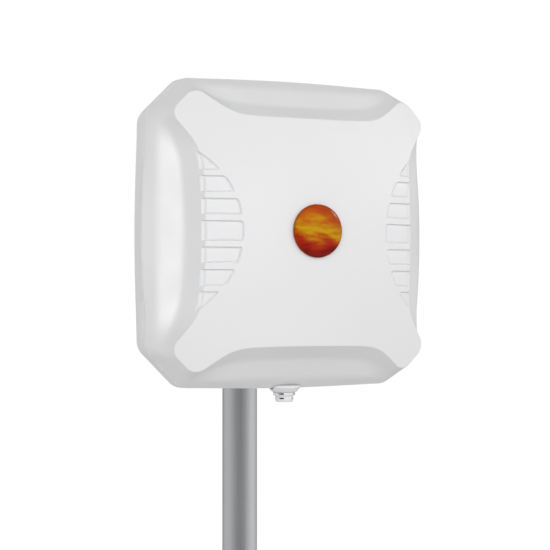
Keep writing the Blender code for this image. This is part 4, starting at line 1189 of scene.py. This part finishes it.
def build_gland():
    """The collar: a cone cut to the housing's underside, with a flat neck for the feed leads."""
    profile = [(0.5, HOOD_TOP), (COLLAR_RADIUS - 1.4, HOOD_TOP), (COLLAR_RADIUS - 0.2, HOOD_TOP - 0.9)]
    profile += [(COLLAR_RADIUS, -123.9), (COLLAR_FOOT_RADIUS + 0.2, COLLAR_FOOT + 0.4)]
    profile += [(COLLAR_FOOT_RADIUS - 0.2, COLLAR_FOOT), (0.5, COLLAR_FOOT)]
    collar = solid("gland_hood", turned(softened(profile, 0.5, 3), 72), on_gland(0))
    panel = placed(0, RIM_Y, PANEL_Z)
    band = SHOULDER.mid - SEAM.mid
    far = LIP_DEPTH + 2 * (SHOULDER_DEPTHS[0] - LIP_DEPTH)
    wall = -0.35 - SEAM.mid
    clearance = [(-3, -116), (-3, -125.3), (LIP_DEPTH + 0.1, -125.2), (LIP_DEPTH + 0.5, wall)]
    clearance += [(far, wall - 2 * band), (far, -80)]
    cut(collar, crosswise([(-depth, z) for depth, z in clearance], 30), panel)
    neck = neck_block((9.0, 2.2), 2.2, -127.0, -113.5)
    combine(collar, "UNION", solid("neck", neck, panel))
    cut(collar, neck_block((5.2, 1.6), 1.6, -129.0, -112.0), panel)
    smooth(collar, 35)
    stand_for(collar, "gland_collar")
    build_boot()


def neck_block(half_sides, rounding, low, high):
    """An upright block with rounded corners in the middle of the gland's neck."""
    corners = softened(four_ways(*half_sides), rounding, 6, closed=True)
    return prism([(x, -NECK_DEPTH - y, low) for x, y in corners], (0, 0, high - low))


def build_boot():
    """Two tiers of rubbery plastic, each with windows that let it flex, round a rubber sleeve."""
    top = COLLAR_FOOT - GAP
    profile = [(BOOT_BORE, top), (8.9, top), (9.05, top - 0.3), (8.85, top - 2.3), (8.5, top - 2.7)]
    profile += [(7.2, top - 3.1), (7.2, top - 3.7), (7.5, top - 4.1), (7.35, top - 6.6), (6.6, BOOT_FOOT)]
    profile += [(BOOT_BORE + 0.3, BOOT_FOOT), (BOOT_BORE, BOOT_FOOT + 0.3)]
    profile = softened(profile, 0.35, 3, closed=True)
    boot = solid("gland_boot_tiers", turned(profile, 72, closed=True), on_gland(0))
    for low, high, outer in ((top - 1.9, top - 0.6, 10.0), (top - 5.5, top - 4.3, 9.0)):
        for middle in (225, 315, 45, 135):
            cut(boot, wedge(5.0, outer, middle, 36, low, high), on_gland(0))
    smooth(boot, 35)
    stand_for(boot, "gland_boot")
    tube = [(4.4, top - 0.1), (5.25, top - 0.1), (5.25, BOOT_FOOT + 1.4), (4.4, BOOT_FOOT + 1.0)]
    sleeve = solid("gland_sleeve", turned(tube, 48, closed=True), on_gland(0))
    smooth(sleeve, 35)
    sleeve.data.materials.append(MATERIALS["rubber"])
    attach(sleeve, BODY_OF["gland_boot"])


def wedge(inner, outer, middle, width, low, high):
    """A block between two radii and over an angle, in degrees from +X."""
    start, end = middle - width / 2, middle + width / 2
    corners = arc(outer, start, end, 8) + arc(inner, end, start, 8)
    return prism([(x, y, low) for x, y in corners], (0, 0, high - low))


def build_badge():
    """A printed disc on the face's flat seat, under a domed resin."""
    radius = BADGE_RADIUS
    disc = [(0.5, 0), (radius - 0.3, 0), (radius, 0.3), (radius, 0.75), (radius - 0.25, DISC), (0.5, DISC)]
    place = on_panel(0, BADGE_LIFT, SEAT_DEPTH + GAP)
    stand_for(solid("badge_print_disc", turned(disc, 128), place), "badge_disc", 40)
    edge, wall, rise = radius - 0.2, 0.6, 2.6
    crown = [(edge, 0), (edge, wall)]
    for turn in np.linspace(0, math.pi / 2, 25)[1:-1]:
        crown.append((edge * math.cos(turn) ** 0.9, wall + rise * math.sin(turn) ** 0.8))
    crown.append((0.4, wall + rise))
    place = on_panel(0, BADGE_LIFT, SEAT_DEPTH + 2 * GAP + DISC)
    stand_for(solid("badge_resin_dome", turned(crown, 128), place), "badge_dome", 60)


# ---------------------------------------------------------------- camera, light and floor

CAMERA_AZIMUTH = math.radians(24.9)
CAMERA_DISTANCE = 1307.3
CAMERA_DROP = 52.7
FOCAL_PIXELS = 1590.5
IMAGE_WIDTH = 550.0
SENSOR = 36.0
YAW_OFF_CENTRE = math.atan(2.15 / FOCAL_PIXELS)
PITCH = math.radians(0.88)

# Diffuse light: the floor's, and soft lobes of the room's as ((azimuth, elevation), weight)
FLOOR_LIGHT = 0.536
LOBES = [
    ((-60, 15), 1.37),
    ((-30, 15), 1.54),
    ((0, 15), 1.12),
    ((45, 15), 1.66),
    ((90, 15), 0.35),
    ((180, 15), 3.68),
]
LOBE_POWER = 8.0
SEEN_WHITE = 1.02

# In reflections: an even level, brighter or darker lobes as (azimuth, power, weight), and one small glint
MIRRORED_LEVEL = 0.80
MIRRORED_LOBES = [(70, 3.0, 0.18), (-22, 2.0, -0.44), (145, 5.0, -0.45), (-166, 16.0, -0.3)]
GLINT_PLACE, GLINT_POWER, GLINT_WEIGHT = (54, 20), 300.0, 25.0


def build_camera():
    """The photograph's view, from the left of the face and a little below its middle."""
    data = bpy.data.cameras.new("camera")
    data.sensor_width = SENSOR
    data.lens = FOCAL_PIXELS / IMAGE_WIDTH * SENSOR
    data.clip_end = 50
    camera = link("camera", data)
    ahead = Vector((math.sin(CAMERA_AZIMUTH), math.cos(CAMERA_AZIMUTH), 0)) * CAMERA_DISTANCE * MM
    camera.location = Vector((0, RIM_Y, PANEL_Z - CAMERA_DROP * MM)) - ahead
    camera.rotation_euler = (math.pi / 2 + PITCH, 0, -(CAMERA_AZIMUTH - YAW_OFF_CENTRE))
    bpy.context.scene.camera = camera


def direction(azimuth, elevation):
    """A direction from the object, azimuth 0 being in front of its face and 90 to its right."""
    a, e = math.radians(azimuth), math.radians(elevation)
    return (math.sin(a) * math.cos(e), -math.cos(a) * math.cos(e), math.sin(e))


def build_world():
    """A white room, softly brighter in a few directions, that the camera sees as plain white.

    In glossy reflections the side that the camera stands on is a dark gap between two bright screens.
    """
    world = bpy.data.worlds.new("studio")
    world.use_nodes = True
    tree = world.node_tree
    background = tree.nodes["Background"]
    place = tree.nodes.new("ShaderNodeTexCoord").outputs["Generated"]

    def plus(first, second):
        return maths(tree, "ADD", first, second)

    def times(first, second):
        return maths(tree, "MULTIPLY", first, second)

    def lobe(azimuth, elevation, power):
        dot = tree.nodes.new("ShaderNodeVectorMath")
        dot.operation = "DOT_PRODUCT"
        dot.inputs[1].default_value = direction(azimuth, elevation)
        tree.links.new(place, dot.inputs[0])
        return maths(tree, "POWER", maths(tree, "MAXIMUM", dot.outputs["Value"], 0.0), power)

    def blend(factor, first, second):
        """first where the factor is 0, second where it is 1."""
        return plus(times(first, maths(tree, "SUBTRACT", 1.0, factor)), times(second, factor))

    soft = 0.0
    for (azimuth, elevation), weight in LOBES:
        soft = plus(soft, times(lobe(azimuth, elevation, LOBE_POWER), weight))
    shiny = MIRRORED_LEVEL
    for azimuth, power, weight in MIRRORED_LOBES:
        shiny = plus(shiny, times(lobe(azimuth, 0, power), weight))
    glint = times(lobe(*GLINT_PLACE, GLINT_POWER), GLINT_WEIGHT)
    rays = tree.nodes.new("ShaderNodeLightPath")
    lit = blend(rays.outputs["Is Glossy Ray"], soft, plus(shiny, glint))
    tree.links.new(blend(rays.outputs["Is Camera Ray"], lit, SEEN_WHITE), background.inputs["Strength"])
    background.inputs["Color"].default_value = (1, 1, 1, 1)
    bpy.context.scene.world = world


def build_floor():
    """A plain floor that the camera sees as white as the room, and that throws soft light back up."""
    size = 12.0
    corners = [(-size, -size, 0), (size, -size, 0), (size, size, 0), (-size, size, 0)]
    mesh = bpy.data.meshes.new("floor")
    mesh.from_pydata(corners, [], [(0, 1, 2, 3)])
    floor = link("floor", mesh)
    material = bpy.data.materials.new("floor_white")
    material.use_nodes = True
    tree = material.node_tree
    tree.nodes.remove(tree.nodes["Principled BSDF"])
    rays = tree.nodes.new("ShaderNodeLightPath")
    level = tree.nodes.new("ShaderNodeMapRange")
    level.inputs["To Min"].default_value = FLOOR_LIGHT
    level.inputs["To Max"].default_value = SEEN_WHITE
    tree.links.new(rays.outputs["Is Camera Ray"], level.inputs["Value"])
    glow = tree.nodes.new("ShaderNodeEmission")
    tree.links.new(level.outputs["Result"], glow.inputs["Strength"])
    tree.links.new(glow.outputs[0], tree.nodes["Material Output"].inputs["Surface"])
    floor.data.materials.append(material)
    floor.visible_glossy = False


def build_softbox(name, azimuth, distance, centre, size, radiance, shown_on):
    """A softbox that shows only as a sheen on the given pieces."""
    light = bpy.data.lights.new(name, "AREA")
    light.shape = "RECTANGLE"
    light.size, light.size_y = size
    light.energy = radiance * math.pi * size[0] * size[1]
    lamp = link(name, light)
    away = Vector(direction(azimuth, 0))
    lamp.location = Vector(centre) + away * distance
    lamp.rotation_euler = away.to_track_quat("Z", "Y").to_euler()
    lamp.visible_diffuse = False
    lamp.visible_camera = False
    lamp.light_linking.receiver_collection = shown_on


def build_softboxes(radome):
    """One softbox for the left ledge's sheen and a wide one for the face's. Only the radome shows them."""
    shown_on = bpy.data.collections.new("softbox_sheen")
    shown_on.objects.link(radome)
    ledge = (-0.107, RIM_Y - 0.037, PANEL_Z + 0.04)
    face = (-0.04, RIM_Y - FACE_DEPTH * MM, PANEL_Z + 0.10)
    build_softbox("softbox_left", -59, 0.9, ledge, (0.42, 0.34), 13.0, shown_on)
    build_softbox("softbox_front", 0, 1.5, face, (0.8, 0.6), 2.4, shown_on)


# ---------------------------------------------------------------- everything

bpy.context.scene.view_settings.view_transform = "Standard"
build_camera()
build_world()
build_floor()

radome = build_front_cover()
build_softboxes(radome)
stand_for(radome, "front_cover")
stand_for(build_rear_cover(), "rear_cover")
build_mast()
build_clamp()
build_antenna_bracket()
build_screws()
build_gland()
build_badge()

for name, part in frame["nodes"].items():
    part.data.materials.clear()
    part.data.materials.append(MATERIALS[SLOT_OF[name]])

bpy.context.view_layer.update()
